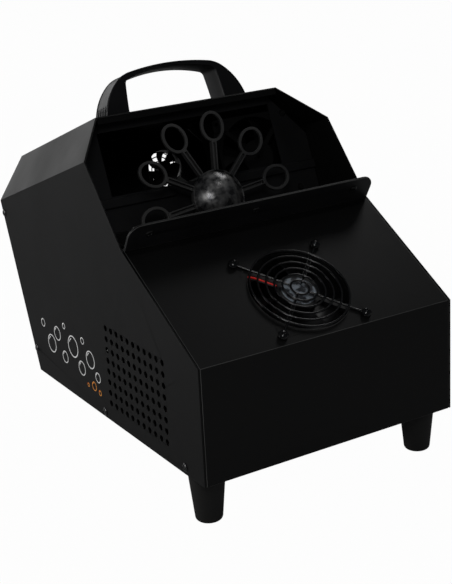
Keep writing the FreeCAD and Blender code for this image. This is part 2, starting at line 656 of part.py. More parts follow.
def rear_panel():
    """Leaning rear wall with the small fan's aperture, mains cut-outs and side flanges."""
    body = new_body("rear_panel", REAR.at())
    side = "case_width / 2 - sheet - 0.3"
    top = "roof_half - sheet * 0.5 - 0.3"
    low = "-(roof_rear_z - sheet - 0.4) / cos(roof_angle)"
    drop = "-shoulder_drop - sheet * 0.4"
    outline = [("-(%s)" % side, low), (side, low), (side, drop), (top, "-sheet - 0.3"),
               ("-(%s)" % top, "-sheet - 0.3"), ("-(%s)" % side, drop)]
    pad(body, polygon(new_sketch(body, "XZ_Plane"), outline), "sheet")
    for sign in ("", "-"):
        flange = new_sketch(body, "XZ_Plane")
        rectangle(flange, sign + "(%s)" % side, sign + "(%s - sheet)" % side, "%s + 14" % low, drop)
        pad(body, flange, "flange_width")
    roof_flange = new_sketch(body, "XZ_Plane")
    rectangle(roof_flange, "-roof_half + 4", "roof_half - 4", "-2 * sheet - 0.3", "-sheet - 0.3")
    pad(body, roof_flange, "flange_width")

    openings = new_sketch(body, "XZ_Plane")
    circle(openings, "rear_fan_x", "-rear_fan_drop", "rear_fan_size / 2 - 1.2")
    circles_at_corners(openings, "rear_fan_spacing", "1.8", "rear_fan_x", "-rear_fan_drop")
    rectangle(openings, "inlet_x - inlet_block_half - 0.2", "inlet_x + inlet_block_half + 0.2",
              "-inlet_drop - inlet_block_high - 0.2", "-inlet_drop + inlet_block_high + 0.2")
    for sign in ("-", ""):
        circle(openings, "inlet_x + %sinlet_screws / 2" % sign, "-inlet_drop", "1.7")
        for drop in ("inlet_drop", "shoulder_drop"):
            circle(openings, "%s(case_width / 2 - panel_screw_inset)" % sign,
                   "-%s - panel_screw_inset" % drop, "screw_shank")
    rectangle(openings, "switch_x - switch_block_half - 0.2", "switch_x + switch_block_half + 0.2",
              "-switch_drop - switch_block_high - 0.2", "-switch_drop + switch_block_high + 0.2")
    pocket(body, openings, "10", midplane=True)

    fixings = new_sketch(body, "YZ_Plane")
    for y, z in SIDE_SCREWS[2:]:
        out, up = on_rear_wall(y, z)
        circle(fixings, str(out), str(up), "screw_shank + 0.1")
    pocket(body, fixings, "2 * case_width", midplane=True)


def drip_lip():
    """Upright plate across the slope's upper end, with rounded top corners."""
    body = new_body("drip_lip", SLOPE_TOP.at(y=-size("sheet")))
    sketch = new_sketch(body, "XZ_Plane")
    rectangle(sketch, "-case_width / 2 + sheet + seam", "case_width / 2 - sheet - seam", "0.1", "lip_height")
    pad(body, sketch, "lip_sheet")
    round_edges(body, "lip_corner", lambda point, edge: along(edge, Y_AXIS) and point.z > 10)
    holes = new_sketch(body, "XZ_Plane")
    for x in ("-lip_screw_spread", "0", "lip_screw_spread"):
        circle(holes, x, "lip_screw_height", "screw_shank + 0.2")
    pocket(body, holes, "10", midplane=True)


def baffle_frame():
    """Leaning bulkhead behind the wheel, with its window, ledge and top flange."""
    body = new_body("baffle_frame", WHEEL.at(y=size("baffle_offset")))
    side = "case_width / 2 - sheet - 0.3"
    top = "roof_half - 3"
    shoulder = "baffle_top - shoulder_drop - 3"
    outline = [("-(%s)" % side, "-baffle_bottom"), (side, "-baffle_bottom"), (side, shoulder),
               (top, "baffle_top"), ("-(%s)" % top, "baffle_top"), ("-(%s)" % side, shoulder)]
    pad(body, polygon(new_sketch(body, "XZ_Plane"), outline), "sheet", reverse=True)
    for sign in ("", "-"):
        flange = new_sketch(body, "XZ_Plane")
        rectangle(flange, sign + "(%s)" % side, sign + "(%s - sheet)" % side, "-baffle_bottom", shoulder)
        pad(body, flange, "flange_width", reverse=True)
    window = new_sketch(body, "XZ_Plane")
    rectangle(window, "-roof_half + 4", "roof_half - 4", "window_bottom", "window_top")
    circle(window, "0", "0", "axle_radius + 4")
    for sign, other in (("-", ""), ("", "-")):
        circle(window, sign + "motor_ear * sin(45)", other + "motor_ear * sin(45)", "1.8")
    circle(window, "blower_x - blower_spacing / 2", "blower_up - blower_spacing / 2", "2.2")
    circle(window, "blower_x + blower_spacing / 2", "blower_up - blower_spacing / 2", "2.2")
    circle(window, "blower_x + blower_spacing / 2", "blower_up + blower_spacing / 2", "2.2")
    pocket(body, window, "10", midplane=True)
    ledge = new_sketch(body, "XZ_Plane")
    rectangle(ledge, "-(%s)" % side, side, "ledge_low", "ledge_high")
    pad(body, ledge, "ledge_depth")
    front = 0.1 - size("ledge_depth")
    round_edges(body, "1.2", lambda point, edge: along(edge, X_AXIS) and point.y < front)
    relief = new_sketch(body, "XZ_Plane")
    circle(relief, "0", "0", "ledge_relief")
    pocket(body, relief, "ledge_depth + 1.5", reverse=True)
    header = new_sketch(body, "XZ_Plane")
    rectangle(header, "-roof_half + 6", "roof_half - 6", "window_top", "baffle_top")
    pad(body, header, "1.2")


def fluid_tank():
    """Open tank under the wheel, with a drain boss in its floor."""
    body = new_body("fluid_tank", CASE.at(z=size("tank_floor")))
    plan = new_sketch(body, "XY_Plane")
    rectangle(plan, "-tank_half", "tank_half", "tank_front", "tank_rear")
    pad(body, plan, "tank_rim - tank_floor")
    round_edges(body, "tank_corner", lambda point, edge: along(edge, Z_AXIS))
    inside = new_sketch(body, "XY_Plane", FreeCAD.Placement(
        FreeCAD.Vector(0, 0, size("tank_wall")), FreeCAD.Rotation()))
    rectangle(inside, "-tank_half + tank_wall", "tank_half - tank_wall",
              "tank_front + tank_wall", "tank_rear - tank_wall")
    pocket(body, inside, "tank_rim", reverse=True)
    boss = new_sketch(body, "XY_Plane")
    circle(boss, "0", "(tank_front + tank_rear) / 2", "drain_bore + 3")
    pad(body, boss, "drain_boss", reverse=True)
    drain = new_sketch(body, "XY_Plane")
    circle(drain, "0", "(tank_front + tank_rear) / 2", "drain_bore")
    pocket(body, drain, "60", midplane=True)


def tank_stands():
    """Two bent brackets that carry the tank over the bottom panel."""
    for label, sign in (("tank_stand_left", -1), ("tank_stand_right", 1)):
        body = new_body(label, CASE.at(sign * size("stand_x"), size("tank_front") + size("stand_inset"),
                                       size("sheet") + CONTACT_GAP))
        profile = new_sketch(body, "XZ_Plane")
        top = "(tank_floor - sheet - 0.1)"
        outer, inner, web = "-stand_flange / 2", "stand_flange / 2", "-stand_flange / 2 + sheet"
        polygon(profile, [(outer, "0"), (inner, "0"), (inner, "sheet"), (web, "sheet"),
                          (web, top + " - sheet"), (inner, top + " - sheet"), (inner, top), (outer, top)])
        pad(body, profile, "tank_rear - tank_front - 2 * stand_inset", reverse=True)


def drain_plug():
    """Plug pushed up into the tank's drain boss."""
    middle = (size("tank_front") + size("tank_rear")) / 2
    seat = size("tank_floor") - size("drain_boss")
    stem = primitive("Cylinder", "plug_stem", CASE.at(y=middle, z=seat),
                     Radius="drain_bore - 0.1", Height="drain_boss - 1")
    flange = primitive("Cylinder", "plug_flange", CASE.at(y=middle, z=seat - size("plug_flange")),
                       Radius="drain_bore + 2", Height="plug_flange")
    keep(joined("MultiFuse", "plug", [stem, flange]), "drain_plug")


def rubber_foot(label, x, y):
    """Tapered rubber foot with a rounded lower edge and a counterbored screw hole."""
    body = new_body(label, CASE.at(x=x, y=y, z=-size("foot_height")))
    profile = new_sketch(body, "XZ_Plane")
    polygon(profile, [("2.7", "22"), ("5.5", "22"), ("5.5", "0"), ("foot_bottom", "0"),
                      ("foot_top", "foot_height"), ("2.7", "foot_height")])
    revolve(body, profile, "V_Axis")
    round_edges(body, "foot_round", lambda point, edge: abs(point.z) < 0.01 and edge.Length > 40)


def feet():
    """Four feet and their screws."""
    rear = size("depth") - size("roof_rear_z") * math.tan(ROOF_FALL) - size("foot_inset")
    places = []
    for depth_name, spread, y in (("front", size("foot_spread"), size("foot_inset")),
                                  ("rear", size("foot_rear_spread"), rear)):
        for side_name, x in (("left", -spread), ("right", spread)):
            rubber_foot("foot_%s_%s" % (depth_name, side_name), x, y)
            places.append(CASE.at(x, y, 22 - size("foot_height"), FreeCAD.Rotation(X_AXIS, 180)))
    screws("foot_screws", places, head="5", rise="4", shank="2.5", length="24")


def handle():
    """Moulded carrying handle: a crowned arch with a finger opening, standing square to the roof."""
    body = new_body("handle", ROOF.at(y=size("handle_set_back"), z=0.1))
    pad(body, arch(new_sketch(body, "XZ_Plane"), "handle", "handle_half", "handle_height"),
        "handle_depth", reverse=True)
    front_and_back = (0, size("handle_depth"))
    round_edges(body, "handle_edge", lambda point, edge: point.z > 1 and min(
        abs(point.y - face) for face in front_and_back) < 0.01)
    # The opening starts a little below the handle's base, so that no skin is left across it.
    below = FreeCAD.Placement(FreeCAD.Vector(0, -0.01, 0), FreeCAD.Rotation())
    opening = new_sketch(body, "XZ_Plane", below)
    pocket(body, arch(opening, "grip", "grip_half", "grip_height"), "100", midplane=True)
    bores = new_sketch(body, "XY_Plane")
    for sign in ("", "-"):
        circle(bores, sign + "handle_bolt_x", "handle_depth / 2", "2.1")
    pocket(body, bores, "handle_bore", reverse=True)


def handle_bolts():
    """Bolts through the roof into the handle's legs, heads inside the case."""
    y = size("handle_set_back") + size("handle_depth") / 2
    flip = FreeCAD.Rotation(X_AXIS, 180)
    places = [ROOF.at(sign * size("handle_bolt_x"), y, -size("sheet") - CONTACT_GAP, flip)
              for sign in (-1, 1)]
    screws("handle_bolts", places, head="4.5", rise="3", shank="2.05", length="14")


def case_screws():
    """Screws of the cover, the drip lip and the rear panel."""
    half = size("case_width") / 2
    places = []
    for sign in (-1, 1):
        out = FreeCAD.Rotation(Y_AXIS, 90 * sign)
        places += [CASE.at(sign * half, y, z, out) for y, z in SIDE_SCREWS]
    screws("cover_screws", places)

    forward = FreeCAD.Rotation(X_AXIS, 90)
    spread = size("lip_screw_spread")
    lip_face = -size("sheet") - size("lip_sheet")
    screws("lip_screws", [SLOPE_TOP.at(x, lip_face, size("lip_screw_height"), forward)
                          for x in (-spread, 0, spread)])

    backward = FreeCAD.Rotation(X_AXIS, -90)
    inset = size("panel_screw_inset")
    screws("rear_panel_screws", [REAR.at(sign * (half - inset), 0, -size(drop) - inset, backward)
                                 for sign in (-1, 1) for drop in ("inlet_drop", "shoulder_drop")])


# ---- fans ----------------------------------------------------------------------------------------

def axial_fan(prefix, place):
    """Frame and rotor of a square fan; its exhaust face lies on the place's XY plane, blowing to +Z."""
    across = prefix + "_size"
    thick = prefix + "_depth"
    reach = across + " * 0.47"
    frame = new_body(prefix + "_frame", place)
    square = new_sketch(frame, "XY_Plane")
    rectangle(square, "-%s / 2" % across, across + " / 2", "-%s / 2" % across, across + " / 2")
    pad(frame, square, thick, reverse=True)
    round_edges(frame, across + " / 20", lambda point, edge: along(edge, Z_AXIS))
    duct = new_sketch(frame, "XY_Plane")
    circle(duct, "0", "0", reach)
    circles_at_corners(duct, prefix + "_spacing", across + " / 42")
    pocket(frame, duct, "100", midplane=True)
    notch = new_sketch(frame, "XY_Plane")
    rectangle(notch, "-%s * 0.52" % across, "-%s * 0.3" % across, across + " * 0.24", across + " * 0.355")
    pocket(frame, notch, "2 * lead_radius + 0.5")
    diagonal = FreeCAD.Placement(FreeCAD.Vector(), FreeCAD.Rotation(Z_AXIS, 45))
    strut = new_sketch(frame, "XY_Plane", diagonal)
    rectangle(strut, "-strut_half", "strut_half", across + " * 0.1", across + " * 0.485")
    arm = pad(frame, strut, thick + " / 8", reverse=True)
    polar(frame, arm, 4)
    seat = new_sketch(frame, "XY_Plane")
    circle(seat, "0", "0", across + " * 0.2")
    pad(frame, seat, thick + " / 8", reverse=True)
    bearing = new_sketch(frame, "XY_Plane")
    circle(bearing, "0", "0", "fan_shaft + running_gap")
    pocket(frame, bearing, "100", midplane=True)

    lower = FreeCAD.Placement(FreeCAD.Vector(0, 0, -size(thick) * 0.94), FreeCAD.Rotation())
    rotor = new_body(prefix + "_rotor", place)
    hub = new_sketch(rotor, "XY_Plane", lower)
    circle(hub, "0", "0", across + " * 0.19")
    pad(rotor, hub, thick + " * 0.785")
    spindle = new_sketch(rotor, "XY_Plane", lower)
    circle(spindle, "0", "0", "fan_shaft")
    pad(rotor, spindle, thick + " * 0.92")
    edge_on = new_sketch(rotor, "XZ_Plane", FreeCAD.Placement(
        FreeCAD.Vector(0, 0, -size(across) * 0.17), FreeCAD.Rotation()))
    half = across + " * 0.13"
    lower_edge, upper_edge, blade_thick = "-%s * 0.9" % thick, "-%s * 0.22" % thick, thick + " / 16"
    polygon(edge_on, [("-(%s)" % half, lower_edge), ("-(%s) + %s" % (half, blade_thick), lower_edge),
                      (half, upper_edge), ("%s - %s" % (half, blade_thick), upper_edge)])
    blade = pad(rotor, edge_on, across + " * 0.28", reverse=True)
    polar(rotor, blade, 7)


def wire_guard(label, place, ring_radii, wire, eye_spacing, lift):
    """Finger guard: wire rings on four arms that end in eyes under the fan's screws."""
    pieces = []
    for radius in ring_radii:
        pieces.append(primitive("Torus", "ring", place.multiply(FreeCAD.Placement(
            FreeCAD.Vector(0, 0, lift), FreeCAD.Rotation())), Radius1=radius, Radius2=wire))
    reach = worth(eye_spacing) / math.sqrt(2)
    inner = worth(ring_radii[0]) - worth(wire)
    eye = 2.2 * worth(wire) + 1.2
    for quarter in range(4):
        turn = FreeCAD.Rotation(Z_AXIS, 45 + 90 * quarter)
        level = lift - 1.5 * worth(wire)
        start = FreeCAD.Placement(FreeCAD.Vector(), turn).multiply(FreeCAD.Placement(
            FreeCAD.Vector(inner, 0, level), FreeCAD.Rotation(Y_AXIS, 90)))
        arm = primitive("Cylinder", "arm", place.multiply(start),
                        Radius=wire, Height=str(reach - eye - inner))
        end = FreeCAD.Placement(FreeCAD.Vector(), turn).multiply(FreeCAD.Placement(
            FreeCAD.Vector(reach, 0, level), FreeCAD.Rotation()))
        loop = primitive("Torus", "eye", place.multiply(end), Radius1=str(eye), Radius2=wire)
        pieces += [arm, loop]
    keep(joined("MultiFuse", label + "_wires", pieces), label)


def square_places(place, spacing, lift):
    """The four corners of a fan's screw square."""
    half = size(spacing) / 2
    return [place.multiply(FreeCAD.Placement(FreeCAD.Vector(x, y, lift), FreeCAD.Rotation()))
            for x in (-half, half) for y in (-half, half)]


def fans():
    """The front fan, the blower and the rear fan with their guards and screws."""
    sheet_thick = size("sheet")
    face = SLOPE.at(z=-sheet_thick - CONTACT_GAP)
    axial_fan("front_fan", face)
    wire_guard("front_fan_guard", SLOPE.at(), ["8", "15", "22", "29", "36", "43"], "0.9",
               "front_fan_spacing", 2.4)
    screws("front_fan_screws", square_places(SLOPE.at(), "front_fan_spacing", 2.05),
           head="4.2", rise="2.6", shank="2.0", length="14")

    forward = FreeCAD.Rotation(X_AXIS, 90)
    blower = WHEEL.at(size("blower_x"), size("baffle_offset") + sheet_thick + CONTACT_GAP,
                      size("blower_up"), forward)
    axial_fan("blower", blower)
    half = size("blower_spacing") / 2
    front = size("baffle_offset") - CONTACT_GAP
    places = [WHEEL.at(size("blower_x") + dx, front, size("blower_up") + dz, forward)
              for dx, dz in ((-half, -half), (half, -half), (half, half))]
    screws("blower_screws", places, head="3.4", rise="2", shank="1.7", length="14")

    backward = FreeCAD.Rotation(X_AXIS, -90)
    small = REAR.at(size("rear_fan_x"), -sheet_thick - CONTACT_GAP, -size("rear_fan_drop"), backward)
    axial_fan("rear_fan", small)
    outside = REAR.at(size("rear_fan_x"), 0, -size("rear_fan_drop"), backward)
    wire_guard("rear_fan_guard", outside, ["4", "9", "14", "18.5"], "0.6", "rear_fan_spacing", 1.6)
    screws("rear_fan_screws", square_places(outside, "rear_fan_spacing", 1.35),
           head="2.7", rise="1.6", shank="0.9", length="9")


# ---- the bubble wheel ----------------------------------------------------------------------------

def wheel():
    """Hub, domed cap, ten wands, axle and geared motor; the axle is the wheel frame's Y axis."""
    to_front = FreeCAD.Rotation(X_AXIS, 90)
    first = FreeCAD.Rotation(Y_AXIS, 90 - size("wheel_phase"))
    back_face = FreeCAD.Placement(FreeCAD.Vector(0, size("hub_depth") / 2, 0), to_front)
    hub = new_body("wheel_hub", WHEEL.at(turn=first).multiply(back_face))
    disc = new_sketch(hub, "XY_Plane")
    circle(disc, "0", "0", "hub_radius")
    pad(hub, disc, "hub_depth")
    slot = new_sketch(hub, "XY_Plane")
    rectangle(slot, "-spoke_half - 0.05", "spoke_half + 0.05", "hub_radius - 8", "hub_radius + 5")
    slot.AttachmentOffset = FreeCAD.Placement(
        FreeCAD.Vector(0, 0, size("hub_depth") / 2 - size("spoke_depth") / 2 - 0.05), FreeCAD.Rotation())
    groove = pocket(hub, slot, "spoke_depth + 0.1", reverse=True)
    polar(hub, groove, int(size("wand_count")))
    bore = new_sketch(hub, "XY_Plane")
    circle(bore, "0", "0", "axle_radius")
    pocket(hub, bore, "100", midplane=True)

    sphere = "((cap_radius * cap_radius + cap_rise * cap_rise) / (2 * cap_rise))"
    sunk = worth(sphere) - size("cap_rise") - CONTACT_GAP
    cap = primitive("Sphere", "dome", WHEEL.at(y=-size("hub_depth") / 2 + sunk, turn=to_front),
                    Radius=sphere, Angle1="asin(1 - cap_rise / %s)" % sphere, Angle2="90")
    keep(cap, "hub_cap")

    for number in range(int(size("wand_count"))):
        angle = size("wheel_phase") + 360 / size("wand_count") * number
        turn = FreeCAD.Rotation(Y_AXIS, 90 - angle)
        wand("wand_%02d" % (number + 1), WHEEL.at(turn=turn))

    axle_back = size("baffle_offset") + size("sheet") + 3
    axle_front = -size("hub_depth") / 2 + 1
    axle_place = WHEEL.at(y=axle_front, turn=FreeCAD.Rotation(X_AXIS, -90))
    axle = primitive("Cylinder", "axle", axle_place,
                     Radius="axle_radius", Height=str(axle_back - axle_front))
    keep(axle, "wheel_axle")

    motor = new_body("wheel_motor", WHEEL.at(y=size("baffle_offset") + size("sheet") + CONTACT_GAP,
                                             turn=FreeCAD.Rotation(X_AXIS, -90)))
    diagonal = FreeCAD.Placement(FreeCAD.Vector(), FreeCAD.Rotation(Z_AXIS, 45))
    plate = new_sketch(motor, "XY_Plane", diagonal)
    rectangle(plate, "-motor_ear - 6", "motor_ear + 6", "-7", "7")
    pad(motor, plate, "1.5")
    can = new_sketch(motor, "XY_Plane")
    circle(can, "0", "0", "motor_radius")
    pad(motor, can, "motor_depth")
    shaft_hole = new_sketch(motor, "XY_Plane")
    circle(shaft_hole, "0", "0", "axle_radius + running_gap")
    pocket(motor, shaft_hole, "5", reverse=True)
    ears = new_sketch(motor, "XY_Plane", diagonal)
    for sign in ("-", "+"):
        circle(ears, "%s motor_ear" % sign, "0", "1.7")
    pocket(motor, ears, "5", reverse=True)
    ear = size("motor_ear") * math.sin(math.radians(45))
    screws("motor_screws", [WHEEL.at(sign * ear, size("baffle_offset") - CONTACT_GAP, -sign * ear, to_front)
                            for sign in (-1, 1)],
           head="3.2", rise="2", shank="1.6", length="8")


def wand(label, place):
    """One wand: a channel spoke and an elliptical ring, standing along the place's Z axis."""
    body = new_body(label, place)
    band = new_sketch(body, "XZ_Plane")
    ellipse(band, "ring_reach", "ring_half_width", "ring_half_height")
    ellipse(band, "ring_reach", "ring_half_width - ring_band", "ring_half_height - ring_band")
    pad(body, band, "ring_depth", midplane=True)
    spoke = new_sketch(body, "XZ_Plane")
    rectangle(spoke, "-spoke_half", "spoke_half", "hub_radius - 7.9",
              "ring_reach - ring_half_height + ring_band / 2")
    pad(body, spoke, "spoke_depth", midplane=True)
    channel = new_sketch(body, "XZ_Plane", FreeCAD.Placement(
        FreeCAD.Vector(0, 0, size("spoke_wall") - size("spoke_depth") / 2), FreeCAD.Rotation()))
    rectangle(channel, "-spoke_half + spoke_wall", "spoke_half - spoke_wall", "hub_radius + 1",
              "ring_reach - ring_half_height - 1")
    pocket(body, channel, "10", reverse=True)


# ---- mains fittings, power board and leads -------------------------------------------------------

def mains_inlet():
    """Appliance inlet with three pins and a fuse drawer under the socket."""
    body = new_body("mains_inlet", REAR.at(size("inlet_x"), CONTACT_GAP, -size("inlet_drop")))
    flange = new_sketch(body, "XZ_Plane")
    rectangle(flange, "-inlet_half_width", "inlet_half_width", "-inlet_half_height", "inlet_half_height")
    pad(body, flange, "3", reverse=True)
    round_edges(body, "4", lambda point, edge: along(edge, Y_AXIS))
    block = new_sketch(body, "XZ_Plane")
    rectangle(block, "-inlet_block_half", "inlet_block_half", "-inlet_block_high", "inlet_block_high")
    pad(body, block, "inlet_block_depth")
    top = FreeCAD.Placement(FreeCAD.Vector(0, 0, -3), FreeCAD.Rotation())
    socket = new_sketch(body, "XZ_Plane", top)
    half, low, high = "socket_half", "-4.5", "11.5"
    polygon(socket, [("-" + half, low), (half, low), (half, high + " - 4.5"), (half + " - 4", high),
                     ("-%s + 4" % half, high), ("-" + half, high + " - 4.5")])
    pocket(body, socket, "socket_depth", reverse=True)
    drawer = new_sketch(body, "XZ_Plane", top)
    rectangle(drawer, "-fuse_half", "fuse_half", "-12", "-6")
    pocket(body, drawer, "fuse_length", reverse=True)
    pins = new_sketch(body, "XZ_Plane", FreeCAD.Placement(FreeCAD.Vector(0, 0, 15), FreeCAD.Rotation()))
    for x, z in ((-7, 1), (7, 1), (0, 5)):
        rectangle(pins, str(x - 1), str(x + 1), str(z - 2), str(z + 2))
    pad(body, pins, "15", reverse=True)
    holes = new_sketch(body, "XZ_Plane")
    for sign in ("-", "+"):
        circle(holes, "%s inlet_screws / 2" % sign, "0", "1.7")
    pocket(body, holes, "20", midplane=True)

    fuse = new_body("fuse_drawer", REAR.at(size("inlet_x"), CONTACT_GAP, -size("inlet_drop")))
    slide = new_sketch(fuse, "XZ_Plane", FreeCAD.Placement(FreeCAD.Vector(0, 0, -3.6), FreeCAD.Rotation()))
    rectangle(slide, "-fuse_half + 0.1", "fuse_half - 0.1", "-11.9", "-6.1")
    pad(fuse, slide, "fuse_length")
    grip = new_sketch(fuse, "XZ_Plane", FreeCAD.Placement(FreeCAD.Vector(0, 0, -3.6), FreeCAD.Rotation()))
    rectangle(grip, "-4", "4", "-11", "-9.5")
    pocket(fuse, grip, "2", reverse=True)

    screws("inlet_screws", [REAR.at(size("inlet_x") + sign * size("inlet_screws") / 2, 3.1,
                                    -size("inlet_drop"), FreeCAD.Rotation(X_AXIS, -90)) for sign in (-1, 1)],
           head="2.8", rise="1.6", shank="1.6", length="9")


def power_switch():
    """Rocker switch: bezel with its well, and the rocker on its pin."""
    place = REAR.at(size("switch_x"), CONTACT_GAP, -size("switch_drop"))
    body = new_body("switch_body", place)
    bezel = new_sketch(body, "XZ_Plane")
    rectangle(bezel, "-switch_half_width", "switch_half_width", "-switch_half_height", "switch_half_height")
    pad(body, bezel, "2", reverse=True)
    block = new_sketch(body, "XZ_Plane")
    rectangle(block, "-switch_block_half", "switch_block_half", "-switch_block_high", "switch_block_high")
    pad(body, block, "switch_block_depth")
    well = new_sketch(body, "XZ_Plane", FreeCAD.Placement(FreeCAD.Vector(0, 0, -2), FreeCAD.Rotation()))
    rectangle(well, "-switch_block_half + switch_wall", "switch_block_half - switch_wall",
              "-switch_block_high + switch_wall", "switch_block_high - switch_wall")
    pocket(body, well, "11", reverse=True)
    pivots = new_sketch(body, "YZ_Plane")
    circle(pivots, "-2", "0", "1 + running_gap")
    pocket(body, pivots, "11.4", midplane=True)

    # At rest the rocker leans half of its travel one way.
    rocker = new_body("switch_rocker", REAR.at(size("switch_x"), -1.95, -size("switch_drop"),
                                               FreeCAD.Rotation(X_AXIS, -size("rocker_travel") / 2)))
    profile = new_sketch(rocker, "YZ_Plane")
    polygon(profile, [("-3", "-2.5"), ("-3", "2.5"), ("2.4", "7.2"), ("4.4", "7.2"), ("3.4", "0"),
                      ("4.4", "-7.2"), ("2.4", "-7.2")])
    pad(rocker, profile, "10", midplane=True)
    pin = new_sketch(rocker, "YZ_Plane")
    circle(pin, "0", "0", "1")
    pad(rocker, pin, "11.2", midplane=True)


def power_board():
    """Circuit board on standoffs with a transformer, heat sink and capacitors."""
    board_z = size("sheet") + size("board_lift")
    x, y = size("board_x"), size("board_y")
    board = primitive("Box", "board", CASE.at(x, y, board_z),
                      Length="board_length", Width="board_width", Height="board_thick")
    keep(board, "power_board")
    board_face = board_z + size("board_thick") + CONTACT_GAP
    inset = size("post_inset")
    posts = [primitive("Cylinder", "post", CASE.at(x + px, y + py, size("sheet") + CONTACT_GAP),
                       Radius="3", Height="board_lift - 0.1")
             for px in (inset, size("board_length") - inset)
             for py in (inset, size("board_width") - inset)]
    keep(joined("Compound", "posts", posts), "board_standoffs")
    core = primitive("Box", "core", CASE.at(x + 14, y + 12, board_face),
                     Length="34", Width="30", Height="26")
    coil = primitive("Box", "coil", CASE.at(x + 10, y + 17, board_face + 3.35),
                     Length="42", Width="20", Height="18")
    keep(joined("MultiFuse", "transformer_block", [core, coil]), "transformer")
    parts = [primitive("Cylinder", "capacitor", CASE.at(x + px, y + py, board_face), Radius="5", Height="16")
             for px, py in ((62, 16), (75, 16), (68, 30))]
    parts.append(primitive("Box", "heat_sink", CASE.at(x + 58, y + 44, board_face),
                           Length="26", Width="6", Height="22"))
    keep(joined("Compound", "board_parts_group", parts), "board_components")


def leads():
    """Leads from the power board to the front fan, the wheel motor and the mains inlet."""
    # The front fan's leads run beside its upper left strut and leave through the notch in its frame.
    diagonal = math.sin(math.radians(45))
    hub = (0.2 * size("front_fan_size") + 0.4) * diagonal
    red = (size("strut_half") + 0.85) * diagonal
    black = red + 1.9 * diagonal
    level = -size("sheet") - CONTACT_GAP - size("lead_radius") - 0.15
    route("fan_lead_red", SLOPE, [
        (-hub - red, hub - red, level), (-33.2, 29.2, level), (-56, 31, level),
        (-58, 33, -18), (-58, 35, -36), (-57.5, 40, -60),
        (-56.5, 46, -86), (-55, 53, -113), (-53, 62, -139), (-49, 74, -161), (-46, 83, -178)], "lead_radius")
    route("fan_lead_black", SLOPE, [
        (-hub - black, hub - black, level), (-32.5, 25.8, level), (-54, 27.6, level),
        (-55.4, 29, -17), (-55, 30, -36), (-54.5, 34, -61),
        (-53.5, 41, -88), (-52, 50, -116), (-49.5, 60, -141), (-45, 71, -162), (-41.5, 82, -178.5)],
          "lead_radius")
    route("motor_lead", CASE, [
        (0, 195.4, 141), (-3, 199, 120), (-7, 204, 92), (-10, 208, 62), (-12, 211, 36), (-12.5, 213, 12.2)],
          "lead_radius")
    route("mains_lead", CASE, [
        (-72, 299, 49.2), (-70, 288, 51), (-64, 276, 46), (-55, 266, 34), (-46, 260, 23), (-40, 254, 13.2)],
          "mains_radius")


def check_and_write():
    """Stop if any object failed; otherwise write one STEP file for each sub-part."""
    doc.recompute()
    for item in doc.Objects:
        if "Invalid" in item.State or "Error" in item.State:
            raise RuntimeError("%s (%s) failed: %s" % (item.Name, item.Label, item.State))
    for item in nodes:
        if item.Shape.isNull() or not item.Shape.isValid():
            raise RuntimeError("%s has no valid shape" % item.Label)
    os.makedirs("parts", exist_ok=True)
    for item in nodes:
        item.Shape.exportStep(os.path.join("parts", item.Label + ".step"))
    print(len(nodes), "sub-parts written")


cover_shell()
base_chassis()
rear_panel()
drip_lip()
baffle_frame()
fluid_tank()
tank_stands()
drain_plug()
feet()
handle()
handle_bolts()
case_screws()
fans()
wheel()
mains_inlet()
power_switch()
power_board()
leads()
check_and_write()
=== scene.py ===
import json
import math

import bmesh
import bpy
from mathutils import Matrix, Vector


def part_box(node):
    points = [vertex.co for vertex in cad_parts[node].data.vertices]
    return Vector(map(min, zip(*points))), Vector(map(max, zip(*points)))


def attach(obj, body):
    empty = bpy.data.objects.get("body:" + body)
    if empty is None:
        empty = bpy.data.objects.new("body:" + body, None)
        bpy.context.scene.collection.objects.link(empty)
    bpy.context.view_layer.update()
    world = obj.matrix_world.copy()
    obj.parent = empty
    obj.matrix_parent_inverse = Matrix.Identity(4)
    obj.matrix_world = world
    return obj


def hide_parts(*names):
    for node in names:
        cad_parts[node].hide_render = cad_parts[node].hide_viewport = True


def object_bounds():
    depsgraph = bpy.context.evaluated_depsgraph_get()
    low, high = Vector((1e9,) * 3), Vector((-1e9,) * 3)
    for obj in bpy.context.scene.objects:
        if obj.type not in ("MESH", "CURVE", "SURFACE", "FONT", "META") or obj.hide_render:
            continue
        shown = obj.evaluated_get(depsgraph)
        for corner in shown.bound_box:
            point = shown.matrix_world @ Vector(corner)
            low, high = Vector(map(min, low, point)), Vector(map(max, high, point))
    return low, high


# Bubble machine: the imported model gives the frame, and this script gives it its looks. Everything is
# in metres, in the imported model's own frame: +X to the right, +Y to the rear, +Z up.

MM = 0.001
BLADES = 7
WELD_DISTANCE = 0.00001
BEVEL_SEGMENTS = 2
BEVEL_ANGLE = math.radians(25)
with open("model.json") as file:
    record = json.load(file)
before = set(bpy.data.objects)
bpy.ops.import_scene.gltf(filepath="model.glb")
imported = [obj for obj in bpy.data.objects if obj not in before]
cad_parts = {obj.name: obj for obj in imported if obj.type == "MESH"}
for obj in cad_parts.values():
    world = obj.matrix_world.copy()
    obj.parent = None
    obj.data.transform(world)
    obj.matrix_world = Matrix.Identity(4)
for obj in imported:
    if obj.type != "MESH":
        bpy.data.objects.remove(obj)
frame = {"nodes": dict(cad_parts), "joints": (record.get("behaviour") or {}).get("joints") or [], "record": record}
nodes = frame["nodes"]
joints = {joint["name"]: joint for joint in frame["joints"]}
cad_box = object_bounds()
whole_low, whole_high = Vector(cad_box[0]), Vector(cad_box[1])


# ---- places --------------------------------------------------------------------------------------

def tilted(origin, across, normal):
    """A frame with its origin at a point, X along across and Z along normal."""
    z = Vector(normal).normalized()
    x = (Vector(across) - Vector(across).dot(z) * z).normalized()
    y = z.cross(x)
    matrix = Matrix((x, y, z)).transposed().to_4x4()
    matrix.translation = Vector(origin)
    return matrix


# ---- materials -----------------------------------------------------------------------------------

